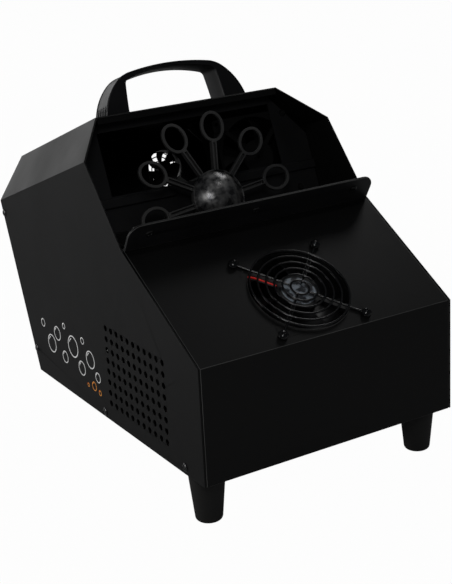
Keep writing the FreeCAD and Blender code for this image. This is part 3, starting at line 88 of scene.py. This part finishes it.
def new_material(name, base, roughness, metallic=0.0, specular=0.5, coat=0.0):
    """A principled material whose constants sit on the shader's own sockets."""
    material = bpy.data.materials.new(name)
    material.use_nodes = True
    shader = material.node_tree.nodes["Principled BSDF"]
    shader.inputs["Base Color"].default_value = (*base, 1)
    shader.inputs["Roughness"].default_value = roughness
    shader.inputs["Metallic"].default_value = metallic
    shader.inputs["Specular IOR Level"].default_value = specular
    shader.inputs["Coat Weight"].default_value = coat
    shader.inputs["Coat Roughness"].default_value = 0.12
    return material


def add_node(material, kind, **values):
    """A node with some of its properties or inputs set."""
    node = material.node_tree.nodes.new(kind)
    for key, value in values.items():
        if key in node.inputs:
            node.inputs[key].default_value = value
        else:
            setattr(node, key, value)
    return node


def noise_at(material, scale, detail=3.0, roughness=0.5):
    """A noise texture in object space; scale is features per metre."""
    place = add_node(material, "ShaderNodeTexCoord")
    texture = add_node(material, "ShaderNodeTexNoise", Scale=scale, Detail=detail, Roughness=roughness)
    material.node_tree.links.new(place.outputs["Object"], texture.inputs["Vector"])
    return texture


def ramp(material, source, low, high, dark, light):
    """Two colours blended over a range of a texture."""
    blend = add_node(material, "ShaderNodeValToRGB")
    blend.color_ramp.elements[0].position = low
    blend.color_ramp.elements[0].color = (*dark, 1)
    blend.color_ramp.elements[1].position = high
    blend.color_ramp.elements[1].color = (*light, 1)
    material.node_tree.links.new(source, blend.inputs["Fac"])
    return blend


def vary_color(material, texture, low, high, dark, light):
    """Drive the base colour from a texture."""
    blend = ramp(material, texture.outputs["Fac"], low, high, dark, light)
    shader = material.node_tree.nodes["Principled BSDF"]
    material.node_tree.links.new(blend.outputs["Color"], shader.inputs["Base Color"])


def vary_roughness(material, texture, smooth, rough):
    """Drive the roughness from a texture."""
    spread = add_node(material, "ShaderNodeMapRange")
    spread.inputs["From Min"].default_value = 0.3
    spread.inputs["From Max"].default_value = 0.7
    spread.inputs["To Min"].default_value = smooth
    spread.inputs["To Max"].default_value = rough
    shader = material.node_tree.nodes["Principled BSDF"]
    material.node_tree.links.new(texture.outputs["Fac"], spread.inputs["Value"])
    material.node_tree.links.new(spread.outputs["Result"], shader.inputs["Roughness"])


def bump(material, texture, strength, depth):
    """Raise the surface by a texture; depth is in metres."""
    relief = add_node(material, "ShaderNodeBump", Strength=strength, Distance=depth)
    shader = material.node_tree.nodes["Principled BSDF"]
    material.node_tree.links.new(texture.outputs["Fac"], relief.inputs["Height"])
    material.node_tree.links.new(relief.outputs["Normal"], shader.inputs["Normal"])


def grained(name, dark, light, smooth, rough, grain, relief, **more):
    """A moulded or coated surface: fine grain, slight colour change and uneven gloss."""
    material = new_material(name, light, rough, **more)
    broad = noise_at(material, 18, 4)
    fine = noise_at(material, grain, 2)
    vary_color(material, broad, 0.35, 0.65, dark, light)
    vary_roughness(material, broad, smooth, rough)
    bump(material, fine, 0.35, relief)
    return material


def metal_with_painted_reflections():
    """Bright thin metal, as on the hub's dome; the soft light and dark patches in its colour are painted
    reflections.
    """
    material = new_material("dome_metal_painted_reflections", (0.5, 0.5, 0.5), 0.3, metallic=0.85)
    patches = noise_at(material, 95, 3, 0.6)
    vary_color(material, patches, 0.38, 0.66, (0.10, 0.10, 0.105), (0.62, 0.61, 0.60))
    vary_roughness(material, patches, 0.22, 0.42)
    bump(material, noise_at(material, 60, 2), 0.55, 0.0012)
    return material


def circuit_board():
    """Green solder resist with paler tracks."""
    material = new_material("solder_resist", (0.02, 0.13, 0.04), 0.35)
    place = add_node(material, "ShaderNodeTexCoord")
    tracks = add_node(material, "ShaderNodeTexBrick", Scale=60.0)
    tracks.inputs["Color1"].default_value = (0.02, 0.12, 0.04, 1)
    tracks.inputs["Color2"].default_value = (0.03, 0.17, 0.06, 1)
    tracks.inputs["Mortar"].default_value = (0.35, 0.32, 0.12, 1)
    shader = material.node_tree.nodes["Principled BSDF"]
    material.node_tree.links.new(place.outputs["Object"], tracks.inputs["Vector"])
    material.node_tree.links.new(tracks.outputs["Color"], shader.inputs["Base Color"])
    return material


def smudged_label():
    """The fan's round sticker: pale blue-white with soft grey blots and no lettering."""
    material = new_material("fan_sticker", (0.6, 0.66, 0.72), 0.3, coat=0.4)
    blots = noise_at(material, 170, 2, 0.55)
    vary_color(material, blots, 0.44, 0.56, (0.045, 0.05, 0.06), (0.55, 0.62, 0.70))
    return material


# grained: name, dark colour, light colour, smooth and rough limits, grain per metre, relief in metres.
powder = grained("powder_coat", (0.0035, 0.0035, 0.0037), (0.0055, 0.0054, 0.0054), 0.42, 0.5,
                 1400, 0.00006, specular=0.3)
# The case paint made lighter for the baffle, drip lip and tank stands: painted light, standing in for the light
# that reaches into the mouth.
inner_painted_light = grained("inner_coat_painted_light", (0.008, 0.008, 0.009), (0.013, 0.013, 0.014), 0.4, 0.5, 1400, 0.00006,
                      specular=0.4)
# Paler paint for the rounded edges: a painted edge highlight.
edge_highlight_paint = grained("painted_edge_highlight", (0.09, 0.09, 0.088), (0.15, 0.15, 0.147), 0.3, 0.45, 1400, 0.00004)
tank_paint = grained("tank_coat", (0.008, 0.008, 0.008), (0.014, 0.014, 0.014), 0.2, 0.4, 500, 0.00008)
rubber = grained("foot_rubber", (0.010, 0.010, 0.010), (0.019, 0.018, 0.017), 0.5, 0.66, 900, 0.00012,
                 specular=0.4)
handle_plastic = grained("handle_moulding", (0.010, 0.010, 0.011), (0.016, 0.016, 0.017), 0.28, 0.4,
                         2200, 0.00003)
wand_plastic = grained("wand_moulding", (0.060, 0.060, 0.061), (0.105, 0.104, 0.102), 0.4, 0.55, 900, 0.0001)
fan_plastic = grained("fan_moulding", (0.008, 0.008, 0.009), (0.014, 0.014, 0.015), 0.3, 0.42, 1500, 0.00004)
dull_plastic = grained("dull_moulding", (0.003, 0.003, 0.003), (0.006, 0.006, 0.006), 0.55, 0.7,
                       1500, 0.00004, specular=0.2)
wire_coat = grained("coated_wire", (0.006, 0.006, 0.007), (0.010, 0.010, 0.011), 0.14, 0.22, 400, 0.00003,
                    coat=0.6)
black_steel = grained("blackened_steel", (0.012, 0.012, 0.012), (0.03, 0.03, 0.03), 0.16, 0.3, 700, 0.00004,
                      metallic=0.6)
fitting = grained("fitting_moulding", (0.010, 0.010, 0.010), (0.018, 0.018, 0.018), 0.4, 0.5, 1500, 0.00004)
gloss_black = grained("rocker_moulding", (0.010, 0.010, 0.010), (0.016, 0.016, 0.016), 0.12, 0.2,
                      1500, 0.00002)
zinc = grained("zinc_plate", (0.25, 0.25, 0.24), (0.42, 0.42, 0.41), 0.28, 0.42, 300, 0.00004, metallic=1.0)
red_sleeve = grained("red_sleeve", (0.70, 0.012, 0.010), (0.90, 0.03, 0.02), 0.25, 0.4, 700, 0.00003)
black_sleeve = grained("black_sleeve", (0.010, 0.010, 0.010), (0.02, 0.02, 0.02), 0.3, 0.45, 700, 0.00003)
# The hub's dome metal, with painted reflections in its colour.
dome_metal_painted_reflections = metal_with_painted_reflections()
board_green = circuit_board()
white_ink = grained("white_ink", (0.80, 0.80, 0.79), (0.90, 0.90, 0.89), 0.45, 0.55, 1200, 0.00002)
orange_ink = grained("orange_ink", (0.72, 0.28, 0.04), (0.84, 0.37, 0.06), 0.45, 0.55, 1200, 0.00002)
# Painted light: the white and orange inks and the red sleeve glow a little, so that they look brighter than the
# lamps alone make them.
for material, glow, strength in ((white_ink, (1, 1, 1, 1), 0.22), (orange_ink, (1, 0.35, 0.06, 1), 0.22),
                                 (red_sleeve, (1, 0.03, 0.02, 1), 0.12)):
    material.node_tree.nodes["Principled BSDF"].inputs["Emission Color"].default_value = glow
    material.node_tree.nodes["Principled BSDF"].inputs["Emission Strength"].default_value = strength
sticker = smudged_label()

SLOT_MATERIALS = {
    "case_paint": powder, "tank_steel": tank_paint, "rubber": rubber, "handle_plastic": handle_plastic,
    "wand_plastic": wand_plastic, "bright_steel": dome_metal_painted_reflections, "guard_wire": wire_coat,
    "black_screw": black_steel, "fan_plastic": fan_plastic, "fitting_plastic": fitting,
    "rocker_plastic": gloss_black, "board": board_green, "red_lead": red_sleeve,
    "black_lead": black_sleeve, "inner_metal": zinc,
}


def dress_nodes():
    """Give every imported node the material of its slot."""
    for part in frame["record"]["subparts"]:
        mesh = nodes[part["node"]].data
        mesh.materials.clear()
        mesh.materials.append(SLOT_MATERIALS[part["material_slot"]])
    # Painted light: the parts in the mouth take the lighter copy of the case paint, so that they look lit.
    for name in ("baffle_frame", "drip_lip", "tank_stand_left", "tank_stand_right"):
        nodes[name].data.materials[0] = inner_painted_light
    nodes["blower_frame"].data.materials[0] = dull_plastic


def soften_edges(name, width, painted_highlight=False):
    """Rounded edges on a sheet or moulding, which catch a thin line of light; if asked, the rounded faces also get
    a paler paint, a painted edge highlight.
    """
    weld = nodes[name].modifiers.new("weld", "WELD")
    weld.merge_threshold = WELD_DISTANCE
    bevel = nodes[name].modifiers.new("bevel", "BEVEL")
    bevel.width = width
    bevel.segments = BEVEL_SEGMENTS
    bevel.limit_method = "ANGLE"
    bevel.angle_limit = BEVEL_ANGLE
    bevel.use_clamp_overlap = True
    # The rounded faces take the paler paint: a painted highlight along the edges.
    if painted_highlight:
        nodes[name].data.materials.append(edge_highlight_paint)
        bevel.material = 1
    normals = nodes[name].modifiers.new("normals", "WEIGHTED_NORMAL")
    normals.weight = 100
    normals.keep_sharp = True


dress_nodes()


# ---- helpers that make pieces --------------------------------------------------------------------

def finish_mesh(name, mesh_data, material, body, replaced=(), sharp=35):
    """Turn a bmesh into a smooth-shaded object that rides on a body."""
    mesh = bpy.data.meshes.new(name)
    bmesh.ops.remove_doubles(mesh_data, verts=mesh_data.verts, dist=0.000001)
    bmesh.ops.recalc_face_normals(mesh_data, faces=mesh_data.faces)
    mesh_data.to_mesh(mesh)
    mesh_data.free()
    mesh.shade_smooth()
    mesh.set_sharp_from_angle(angle=math.radians(sharp))
    mesh.materials.append(material)
    item = bpy.data.objects.new(name, mesh)
    bpy.context.scene.collection.objects.link(item)
    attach(item, body)
    if replaced:
        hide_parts(*replaced)


def skin(mesh_data, rings, capped=False):
    """Quads between closed rings of points; capped closes the first and last ring."""
    rows = [[mesh_data.verts.new(point) for point in ring] for ring in rings]
    for lower, upper in zip(rows, rows[1:]):
        count = len(lower)
        for index in range(count):
            following = (index + 1) % count
            mesh_data.faces.new((lower[index], lower[following], upper[following], upper[index]))
    if capped:
        mesh_data.faces.new(rows[0])
        mesh_data.faces.new(rows[-1])


def lathe(mesh_data, place, profile, steps=48):
    """Turn a profile of (radius, height) pairs round a frame's Z axis."""
    rings = []
    for radius, height in profile:
        radius = max(radius, 0.000004)
        rings.append([place @ Vector((radius * math.cos(turn), radius * math.sin(turn), height))
                      for turn in (2 * math.pi * step / steps for step in range(steps))])
    skin(mesh_data, rings)


def span(name, axis):
    """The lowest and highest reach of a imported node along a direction."""
    reach = [vertex.co.dot(axis) for vertex in nodes[name].data.vertices]
    return min(reach), max(reach)


def clusters(name, reach):
    """A node's vertices in groups that lie further apart than reach."""
    groups = []
    for vertex in nodes[name].data.vertices:
        for group in groups:
            if (vertex.co - group[0]).length < reach:
                group.append(vertex.co)
                break
        else:
            groups.append([vertex.co])
    return groups


def screw_seats(name, normal, rise, reach=0.018):
    """Frames at the foot of each screw head of a node; normal is a direction, or gives one for a group."""
    seats = []
    for group in clusters(name, reach):
        out = normal(group) if callable(normal) else normal
        side = Vector((1, 0, 0)) if abs(out.x) < 0.9 else Vector((0, 1, 0))
        base = tilted((0, 0, 0), side, out)
        local = [base.transposed() @ point for point in group]
        low = Vector([min(point[axis] for point in local) for axis in range(3)])
        high = Vector([max(point[axis] for point in local) for axis in range(3)])
        seats.append(base @ Matrix.Translation(((low.x + high.x) / 2, (low.y + high.y) / 2, high.z - rise)))
    return seats


def screw_head(mesh_data, place, radius, rise, turn):
    """A domed head with a cross recess."""
    side = 22
    recess = 0.42 * rise
    rows = []
    for i in range(side + 1):
        row = []
        for j in range(side + 1):
            u, v = 2 * i / side - 1, 2 * j / side - 1
            x = u * math.sqrt(1 - v * v / 2)
            y = v * math.sqrt(1 - u * u / 2)
            away = math.hypot(x, y)
            z = rise * (1 - 0.72 * away ** 3.2)
            arm = min(abs(u), abs(v)) < 0.12 and away < 0.56
            if arm:
                z -= recess * (1 - 0.5 * away)
            row.append(mesh_data.verts.new(place @ (
                Matrix.Rotation(turn, 4, "Z") @ Vector((radius * x, radius * y, z)))))
        rows.append(row)
    for lower, upper in zip(rows, rows[1:]):
        for index in range(side):
            mesh_data.faces.new((lower[index], lower[index + 1], upper[index + 1], upper[index]))
    lathe(mesh_data, place, [(radius, 0.28 * rise), (radius, 0.08 * rise), (radius * 0.96, 0), (0, 0)], 40)


def screw_set(name, normal, rise, radius, shank, length, material):
    """Detailed screws in place of a packed group of screws."""
    mesh_data = bmesh.new()
    for number, seat in enumerate(screw_seats(name, normal, rise)):
        screw_head(mesh_data, seat, radius, rise, 0.4 + 1.1 * number)
        lathe(mesh_data, seat, [(0, -length), (shank * 0.7, -length), (shank, -length + 0.0008),
                                (shank, 0)], 16)
    finish_mesh(name + "_detailed", mesh_data, material, "case", (name,), 40)


# ---- carrying handle -----------------------------------------------------------------------------

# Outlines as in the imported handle: crown radius, half length of the crown, shoulder and leg radii.
HANDLE_OUTLINE = (0.233, 0.041, 0.0286, 0.054)
GRIP_OUTLINE = (0.150, 0.043, 0.005, 0.400)
GRIP_HALF = 0.0495
GRIP_HEIGHT = 0.0382
HANDLE_SECTIONS = 121
RIB_TOP = 0.011
RIB_FADE = 0.0012


def arch_points(half, height, crown, reach, shoulder, leg, count):
    """Evenly spaced points of an arch of five tangent arcs, from its right foot to its left."""
    crown_centre = Vector((0, height - crown))
    joint = crown_centre + Vector((reach, math.sqrt(crown ** 2 - reach ** 2)))
    shoulder_centre = joint + (crown_centre - joint) * (shoulder / crown)
    offset = shoulder_centre - Vector((half, 0))
    spare = leg - shoulder
    turn = math.acos((offset.length_squared + spare ** 2 - leg ** 2) / (2 * spare * offset.length))
    heading = math.atan2(offset.y, offset.x) - turn
    leg_centre = shoulder_centre - spare * Vector((math.cos(heading), math.sin(heading)))
    base = math.atan2(-leg_centre.y, half - leg_centre.x)
    bend = math.atan2(joint.y - shoulder_centre.y, joint.x - shoulder_centre.x)
    rise = math.atan2(joint.y - crown_centre.y, joint.x - crown_centre.x)
    right = []
    for centre, radius, start, end in ((leg_centre, leg, base, heading),
                                       (shoulder_centre, shoulder, heading, bend),
                                       (crown_centre, crown, rise, math.pi / 2)):
        for step in range(200):
            angle = start + (end - start) * step / 200
            right.append(centre + radius * Vector((math.cos(angle), math.sin(angle))))
    right.append(Vector((0, height)))
    path = right + [Vector((-point.x, point.y)) for point in reversed(right[:-1])]
    lengths = [0.0]
    for before, after in zip(path, path[1:]):
        lengths.append(lengths[-1] + (after - before).length)
    points = []
    position = 0
    for number in range(count):
        wanted = lengths[-1] * number / (count - 1)
        while position < len(path) - 2 and lengths[position + 1] < wanted:
            position += 1
        share = (wanted - lengths[position]) / (lengths[position + 1] - lengths[position])
        points.append(path[position].lerp(path[position + 1], share))
    return points


def handle_section(width, depth, ribs):
    """One section of the handle: pairs of (distance from the inner face, distance from the front)."""
    corner = 0.0011
    rim = 0.0014
    dip = 0.0005
    front = [(corner, 0), (rim, 0), (rim + 0.0003, dip), (width - rim - 0.0003, dip), (width - rim, 0),
             (width - corner, 0), (width - 0.3 * corner, 0.3 * corner), (width, corner)]
    outer = [(width, 0.0020), (width - dip, 0.0026)]
    start, end, count = 0.0032, depth - 0.0032, 16
    for index in range(count + 1):
        groove = 0.0011 * ribs if index % 4 in (1, 2) else 0.0
        outer.append((width - dip - groove, start + (end - start) * index / count))
    outer += [(width - dip, depth - 0.0026), (width, depth - 0.0020)]
    back = [(width, depth - corner), (width - 0.3 * corner, depth - 0.3 * corner), (width - corner, depth),
            (corner, depth), (0.3 * corner, depth - 0.3 * corner), (0, depth - corner)]
    inner = [(0, corner), (0.3 * corner, 0.3 * corner)]
    return front + outer + back + inner


def handle():
    """Moulded handle with rims along its edges, a shallow channel round it and ribs at its feet."""
    back = Vector(joints["rear_fan_spin"]["axis"]).normalized()
    back = back if back.y > 0 else -back
    up = Vector((1, 0, 0)).cross(back)
    low, high = span("handle", up)
    front, rear = span("handle", back)
    depth = rear - front
    half = (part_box("handle")[1].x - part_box("handle")[0].x) / 2
    place = Matrix((Vector((1, 0, 0)), back, up)).transposed().to_4x4()
    place.translation = back * front + up * low
    outer = arch_points(half, high - low, *HANDLE_OUTLINE, HANDLE_SECTIONS)
    inner = arch_points(GRIP_HALF, GRIP_HEIGHT, *GRIP_OUTLINE, HANDLE_SECTIONS)
    rings = []
    for inside, outside in zip(inner, outer):
        width = (outside - inside).length
        away = (outside - inside) / width
        ribs = max(0.0, min(1.0, (RIB_TOP - outside.y) / RIB_FADE))
        ring = []
        for reach, distance in handle_section(width, depth, ribs):
            point = inside + away * reach
            ring.append(place @ Vector((point.x, distance, max(point.y, 0))))
        rings.append(ring)
    mesh_data = bmesh.new()
    skin(mesh_data, rings, capped=True)
    finish_mesh("carrying_handle", mesh_data, handle_plastic, "case", ("handle",), 32)


# ---- fans ----------------------------------------------------------------------------------------

def fan_rotor(prefix, joint, body, fan_size, fan_depth, material):
    """Hub with a rounded rim and seven swept, twisted blades, turning round the joint's axis."""
    axis = Vector(joints[joint]["axis"]).normalized()
    rotor_low, rotor_high = span(prefix + "_rotor", axis)
    frame_low, frame_high = span(prefix + "_frame", axis)
    outward = axis if frame_high - rotor_high < rotor_low - frame_low + 1e-5 else -axis
    face = span(prefix + "_frame", outward)[1]
    pivot = Vector(joints[joint]["pos_m"])
    place = tilted(pivot + outward * (face - pivot.dot(outward)), (1, 0, 0), outward)
    mesh_data = bmesh.new()
    hub, top, bottom = 0.19 * fan_size, -0.155 * fan_depth, -0.94 * fan_depth
    lathe(mesh_data, place, [(0, top), (hub - 0.06 * hub, top), (hub - 0.02 * hub, top - 0.02 * hub),
                             (hub, top - 0.06 * hub), (hub, bottom), (hub * 0.9, bottom), (0, bottom)], 64)
    inside, tip, thick = hub - 0.0006, 0.45 * fan_size, 0.014 * fan_size
    along_blade, across_blade = 8, 10
    for blade in range(BLADES):
        start = 2 * math.pi * blade / BLADES
        rows = []
        for layer in (0, 1):
            for i in range(along_blade + 1):
                row = []
                part = i / along_blade
                radius = inside + (tip - inside) * part
                half_angle = math.radians(25 - 6 * part)
                sweep = math.radians(16) * part * part
                for j in range(across_blade + 1):
                    chord = 2 * j / across_blade - 1
                    angle = start + sweep + chord * half_angle
                    camber = 0.05 * fan_depth * (1 - chord * chord)
                    pitch = -0.56 + 0.31 * chord * (1 - 0.15 * part)
                    z = pitch * fan_depth + camber
                    edge = thick * (1 - 0.75 * chord * chord) / 2
                    z += edge if layer else -edge
                    row.append(place @ Vector((radius * math.cos(angle), radius * math.sin(angle), z)))
                rows.append(row)
        lower, upper = rows[:along_blade + 1], rows[along_blade + 1:]
        rings = [low_row + list(reversed(high_row)) for low_row, high_row in zip(lower, upper)]
        skin(mesh_data, rings, capped=True)
    finish_mesh(prefix + "_blades", mesh_data, material, body, (prefix + "_rotor",), 40)
    return place


def fan_label(place, radius, lift):
    """Round sticker on the seat of the front fan, with a turned-in edge."""
    mesh_data = bmesh.new()
    lathe(mesh_data, place, [(0, lift + 0.00012), (radius * 0.97, lift + 0.00012), (radius, lift + 0.00004),
                             (radius, lift - 0.00002)], 64)
    finish_mesh("front_fan_sticker", mesh_data, sticker, "case")


# ---- bubble wheel --------------------------------------------------------------------------------

def hub_dome():
    """Spun metal cap: a dome inside a narrow rolled rim."""
    axis = Vector(joints["wheel_spin"]["axis"]).normalized()
    middle_of = {name: sum((Vector(corner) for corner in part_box(name)), Vector()) / 2
                 for name in ("hub_cap", "wheel_hub")}
    outward = axis if (middle_of["hub_cap"] - middle_of["wheel_hub"]).dot(axis) > 0 else -axis
    low, high = span("hub_cap", outward)
    pivot = Vector(joints["wheel_spin"]["pos_m"])
    place = tilted(pivot + outward * (low - pivot.dot(outward)), (1, 0, 0), outward)
    side = Vector((1, 0, 0))
    left, right = span("hub_cap", side)
    radius, rise = (right - left) / 2, high - low
    rim = 0.0016
    bowl = radius - rim
    sphere = (bowl ** 2 + (rise - 0.001) ** 2) / (2 * (rise - 0.001))
    profile = []
    limit = math.asin(bowl / sphere)
    for step in range(29):
        angle = limit * step / 28
        profile.append((sphere * math.sin(angle), rise - sphere * (1 - math.cos(angle))))
    profile += [(bowl + 0.0002, 0.0008), (bowl + 0.0005, 0.0017), (radius - 0.0004, 0.0019), (radius, 0.0014),
                (radius, 0.0), (bowl, 0.0), (0, 0.0)]
    mesh_data = bmesh.new()
    lathe(mesh_data, place, profile, 96)
    finish_mesh("hub_dome", mesh_data, dome_metal_painted_reflections, "bubble_wheel", ("hub_cap",), 50)


# ---- bubbles on the left side --------------------------------------------------------------------

def bubble_marks():
    """Printed bubbles on the left side: plain rings with a glint in each."""
    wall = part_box("cover_shell")[0].x
    front = whole_low.y
    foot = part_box("foot_front_left")
    floor_gap = foot[1].z - foot[0].z
    level = whole_low.z + floor_gap
    for name, material, rings in (("printed_bubbles", white_ink, WHITE_BUBBLES),
                                  ("printed_bubbles_orange", orange_ink, ORANGE_BUBBLES)):
        mesh_data = bmesh.new()
        for y, z, radius in rings:
            place = tilted((wall - 0.00004, front + y * MM, level + z * MM), (0, -1, 0), (-1, 0, 0))
            line = 0.00065 + 0.05 * radius * MM
            annulus(mesh_data, place, radius * MM - line, radius * MM, 0, 360)
            annulus(mesh_data, place, radius * MM * 0.66, radius * MM * 0.66 + line * 0.9, 112, 158)
        finish_mesh(name, mesh_data, material, "case")


def annulus(mesh_data, place, inner, outer, start, end):
    """A flat ring or part of one, from start to end in degrees."""
    steps = max(8, int(abs(end - start) / 6))
    for step in range(steps):
        corners = []
        for turn, radius in ((step, inner), (step, outer), (step + 1, outer), (step + 1, inner)):
            angle = math.radians(start + (end - start) * turn / steps)
            corners.append(mesh_data.verts.new(place @ Vector((radius * math.cos(angle),
                                                               radius * math.sin(angle), 0))))
        mesh_data.faces.new(corners)


# Printed bubbles: distance from the front, height over the case bottom and radius, in millimetres.
WHITE_BUBBLES = [(181, 34, 5.0), (194, 47, 8.5), (213, 33, 7.0), (229, 49, 10.5), (248, 33, 6.0),
                 (262, 52, 7.0), (276, 38, 9.0), (293, 54, 4.2), (208, 61, 3.4), (246, 64, 3.0)]
ORANGE_BUBBLES = [(179, 20, 2.6), (190, 23, 4.4), (202, 20.5, 2.0)]

handle()
front_face = fan_rotor("front_fan", "front_fan_spin", "front_fan_blades", 0.092, 0.0254, fan_plastic)
fan_rotor("blower", "blower_spin", "blower_blades", 0.080, 0.0254, dull_plastic)
fan_rotor("rear_fan", "rear_fan_spin", "rear_fan_blades", 0.040, 0.0105, fan_plastic)
fan_label(front_face, 0.0152, 0)
hub_dome()
bubble_marks()

slope_out = Vector(joints["front_fan_spin"]["axis"]).normalized()
slope_out = slope_out if slope_out.z > 0 else -slope_out
rear_out = Vector(joints["rear_fan_spin"]["axis"]).normalized()
rear_out = rear_out if rear_out.y > 0 else -rear_out
lip_out = Vector((1, 0, 0)).cross(slope_out)
lip_out = lip_out if lip_out.y < 0 else -lip_out


def sideways(group):
    """The outward direction of a screw in either side panel."""
    return Vector((1 if group[0].x > 0 else -1, 0, 0))


# Screws: node, outward direction, head rise and radius, shank radius and length, material.
for screws in (
    ("front_fan_screws", slope_out, 0.0026, 0.0042, 0.0020, 0.014, wire_coat),
    ("lip_screws", lip_out, 0.0015, 0.0036, 0.0017, 0.006, black_steel),
    ("cover_screws", sideways, 0.0015, 0.0036, 0.0017, 0.006, wire_coat),
    ("rear_panel_screws", rear_out, 0.0015, 0.0036, 0.0017, 0.006, black_steel),
    ("rear_fan_screws", rear_out, 0.0016, 0.0027, 0.0009, 0.009, black_steel),
    ("inlet_screws", rear_out, 0.0016, 0.0028, 0.0016, 0.009, black_steel),
):
    screw_set(*screws)

# The last column puts the painted edge highlight on the rounded edges.
for name, width, painted_highlight in (("cover_shell", 0.0004, False), ("base_chassis", 0.0004, True),
                          ("drip_lip", 0.0005, True), ("baffle_frame", 0.0004, False),
                          ("fluid_tank", 0.0005, False)):
    soften_edges(name, width, painted_highlight)
for number in range(1, 11):
    soften_edges("wand_%02d" % number, 0.0009)
for name in ("front_fan_frame", "blower_frame", "rear_fan_frame", "wheel_hub", "mains_inlet",
             "switch_body", "switch_rocker", "fuse_drawer"):
    soften_edges(name, 0.0003)


# ---- camera, light and floor ---------------------------------------------------------------------

# The camera stands in front of the case's left front corner; its place is given from the middle of the
# case's front bottom edge.
CAMERA_AZIMUTH, CAMERA_ELEVATION, CAMERA_ROLL = -31.02, 18.24, -2.96
CAMERA_PLACE = (-0.59905, -0.84958, 0.49941)
CAMERA_SENSOR, CAMERA_LENS = 36, 84.87
CAMERA_SHIFT = (-0.0136, -0.0378)

WORLD_TINT = (0.9, 0.95, 1.0)
WORLD_STRENGTH = 0.03
FLOOR_GLOW = 0.98

# Soft lights: name, place, width, height, power.
LIGHTS = [
    ("left_softbox", (-2.2, 0.8, 0.55), 1.2, 1.2, 10),
    ("back_softbox", (-0.4, 2.6, 0.5), 2.2, 1.0, 6),
    ("top_softbox", (1.7, 0.9, 2.0), 0.7, 0.7, 4),
    ("front_softbox", (-1.0, -1.7, 1.5), 0.5, 0.5, 5.5),
    ("glint_light", (0.55, -0.55, 1.7), 0.025, 0.025, 0.4),
]


def camera():
    """The camera: its place round the machine, its tilt and its framing."""
    azimuth, elevation, roll = (math.radians(angle) for angle in
                                (CAMERA_AZIMUTH, CAMERA_ELEVATION, CAMERA_ROLL))
    back = Vector((math.sin(azimuth) * math.cos(elevation), -math.cos(azimuth) * math.cos(elevation),
                   math.sin(elevation)))
    right = Vector((0, 0, 1)).cross(back).normalized()
    up = back.cross(right)
    tilted_right = math.cos(roll) * right + math.sin(roll) * up
    tilted_up = -math.sin(roll) * right + math.cos(roll) * up
    eye = bpy.data.objects.new("camera", bpy.data.cameras.new("camera"))
    matrix = Matrix((tilted_right, tilted_up, back)).transposed().to_4x4()
    half_depth = (whole_high.y - whole_low.y) / 2
    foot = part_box("foot_front_left")
    matrix.translation = Vector(CAMERA_PLACE) + Vector((0, -half_depth, foot[1].z - foot[0].z))
    eye.matrix_world = matrix
    eye.data.sensor_width = CAMERA_SENSOR
    eye.data.lens = CAMERA_LENS
    eye.data.shift_x, eye.data.shift_y = CAMERA_SHIFT
    bpy.context.scene.collection.objects.link(eye)
    bpy.context.scene.camera = eye


def area_light(name, place, aim, width, height, power):
    """A soft rectangular light that faces a point."""
    lamp = bpy.data.lights.new(name, "AREA")
    lamp.shape = "RECTANGLE"
    lamp.size = width
    lamp.size_y = height
    lamp.energy = power
    item = bpy.data.objects.new(name, lamp)
    item.location = place
    item.rotation_euler = (Vector(aim) - Vector(place)).to_track_quat("-Z", "Y").to_euler()
    bpy.context.scene.collection.objects.link(item)


def studio():
    """A pale floor in pale surroundings, which stay dim to everything but the camera, and soft lights."""
    bpy.ops.mesh.primitive_plane_add(size=30, location=(0, 0, whole_low.z - 0.0002))
    floor = bpy.context.object
    floor.name = "floor"
    surface = new_material("pale_floor", (0.9, 0.9, 0.9), 0.9, specular=0.05)
    floor.data.materials.append(surface)
    seen_white(surface.node_tree, surface.node_tree.nodes["Principled BSDF"].outputs["BSDF"],
               surface.node_tree.nodes["Material Output"])

    world = bpy.data.worlds.new("studio")
    world.use_nodes = True
    bpy.context.scene.world = world
    tree = world.node_tree
    tree.nodes["Background"].inputs["Color"].default_value = (*WORLD_TINT, 1)
    tree.nodes["Background"].inputs["Strength"].default_value = WORLD_STRENGTH
    white = tree.nodes.new("ShaderNodeBackground")
    white.inputs["Color"].default_value = (1, 1, 1, 1)
    mix = tree.nodes.new("ShaderNodeMixShader")
    path = tree.nodes.new("ShaderNodeLightPath")
    tree.links.new(path.outputs["Is Camera Ray"], mix.inputs["Fac"])
    tree.links.new(tree.nodes["Background"].outputs["Background"], mix.inputs[1])
    tree.links.new(white.outputs["Background"], mix.inputs[2])
    tree.links.new(mix.outputs["Shader"], tree.nodes["World Output"].inputs["Surface"])

    middle = (whole_low + whole_high) / 2
    for name, place, width, height, power in LIGHTS:
        area_light(name, place, middle, width, height, power)
    bpy.context.scene.view_settings.view_transform = "Standard"


def seen_white(tree, surface, output):
    """Lift what the camera sees of the floor towards white, so that shadows on it stay faint."""
    path = tree.nodes.new("ShaderNodeLightPath")
    glow = tree.nodes.new("ShaderNodeEmission")
    glow.inputs["Strength"].default_value = 1.0
    share = tree.nodes.new("ShaderNodeMath")
    share.operation = "MULTIPLY"
    share.inputs[1].default_value = FLOOR_GLOW
    mix = tree.nodes.new("ShaderNodeMixShader")
    tree.links.new(path.outputs["Is Camera Ray"], share.inputs[0])
    tree.links.new(share.outputs["Value"], mix.inputs["Fac"])
    tree.links.new(surface, mix.inputs[1])
    tree.links.new(glow.outputs["Emission"], mix.inputs[2])
    tree.links.new(mix.outputs["Shader"], output.inputs["Surface"])


camera()
studio()
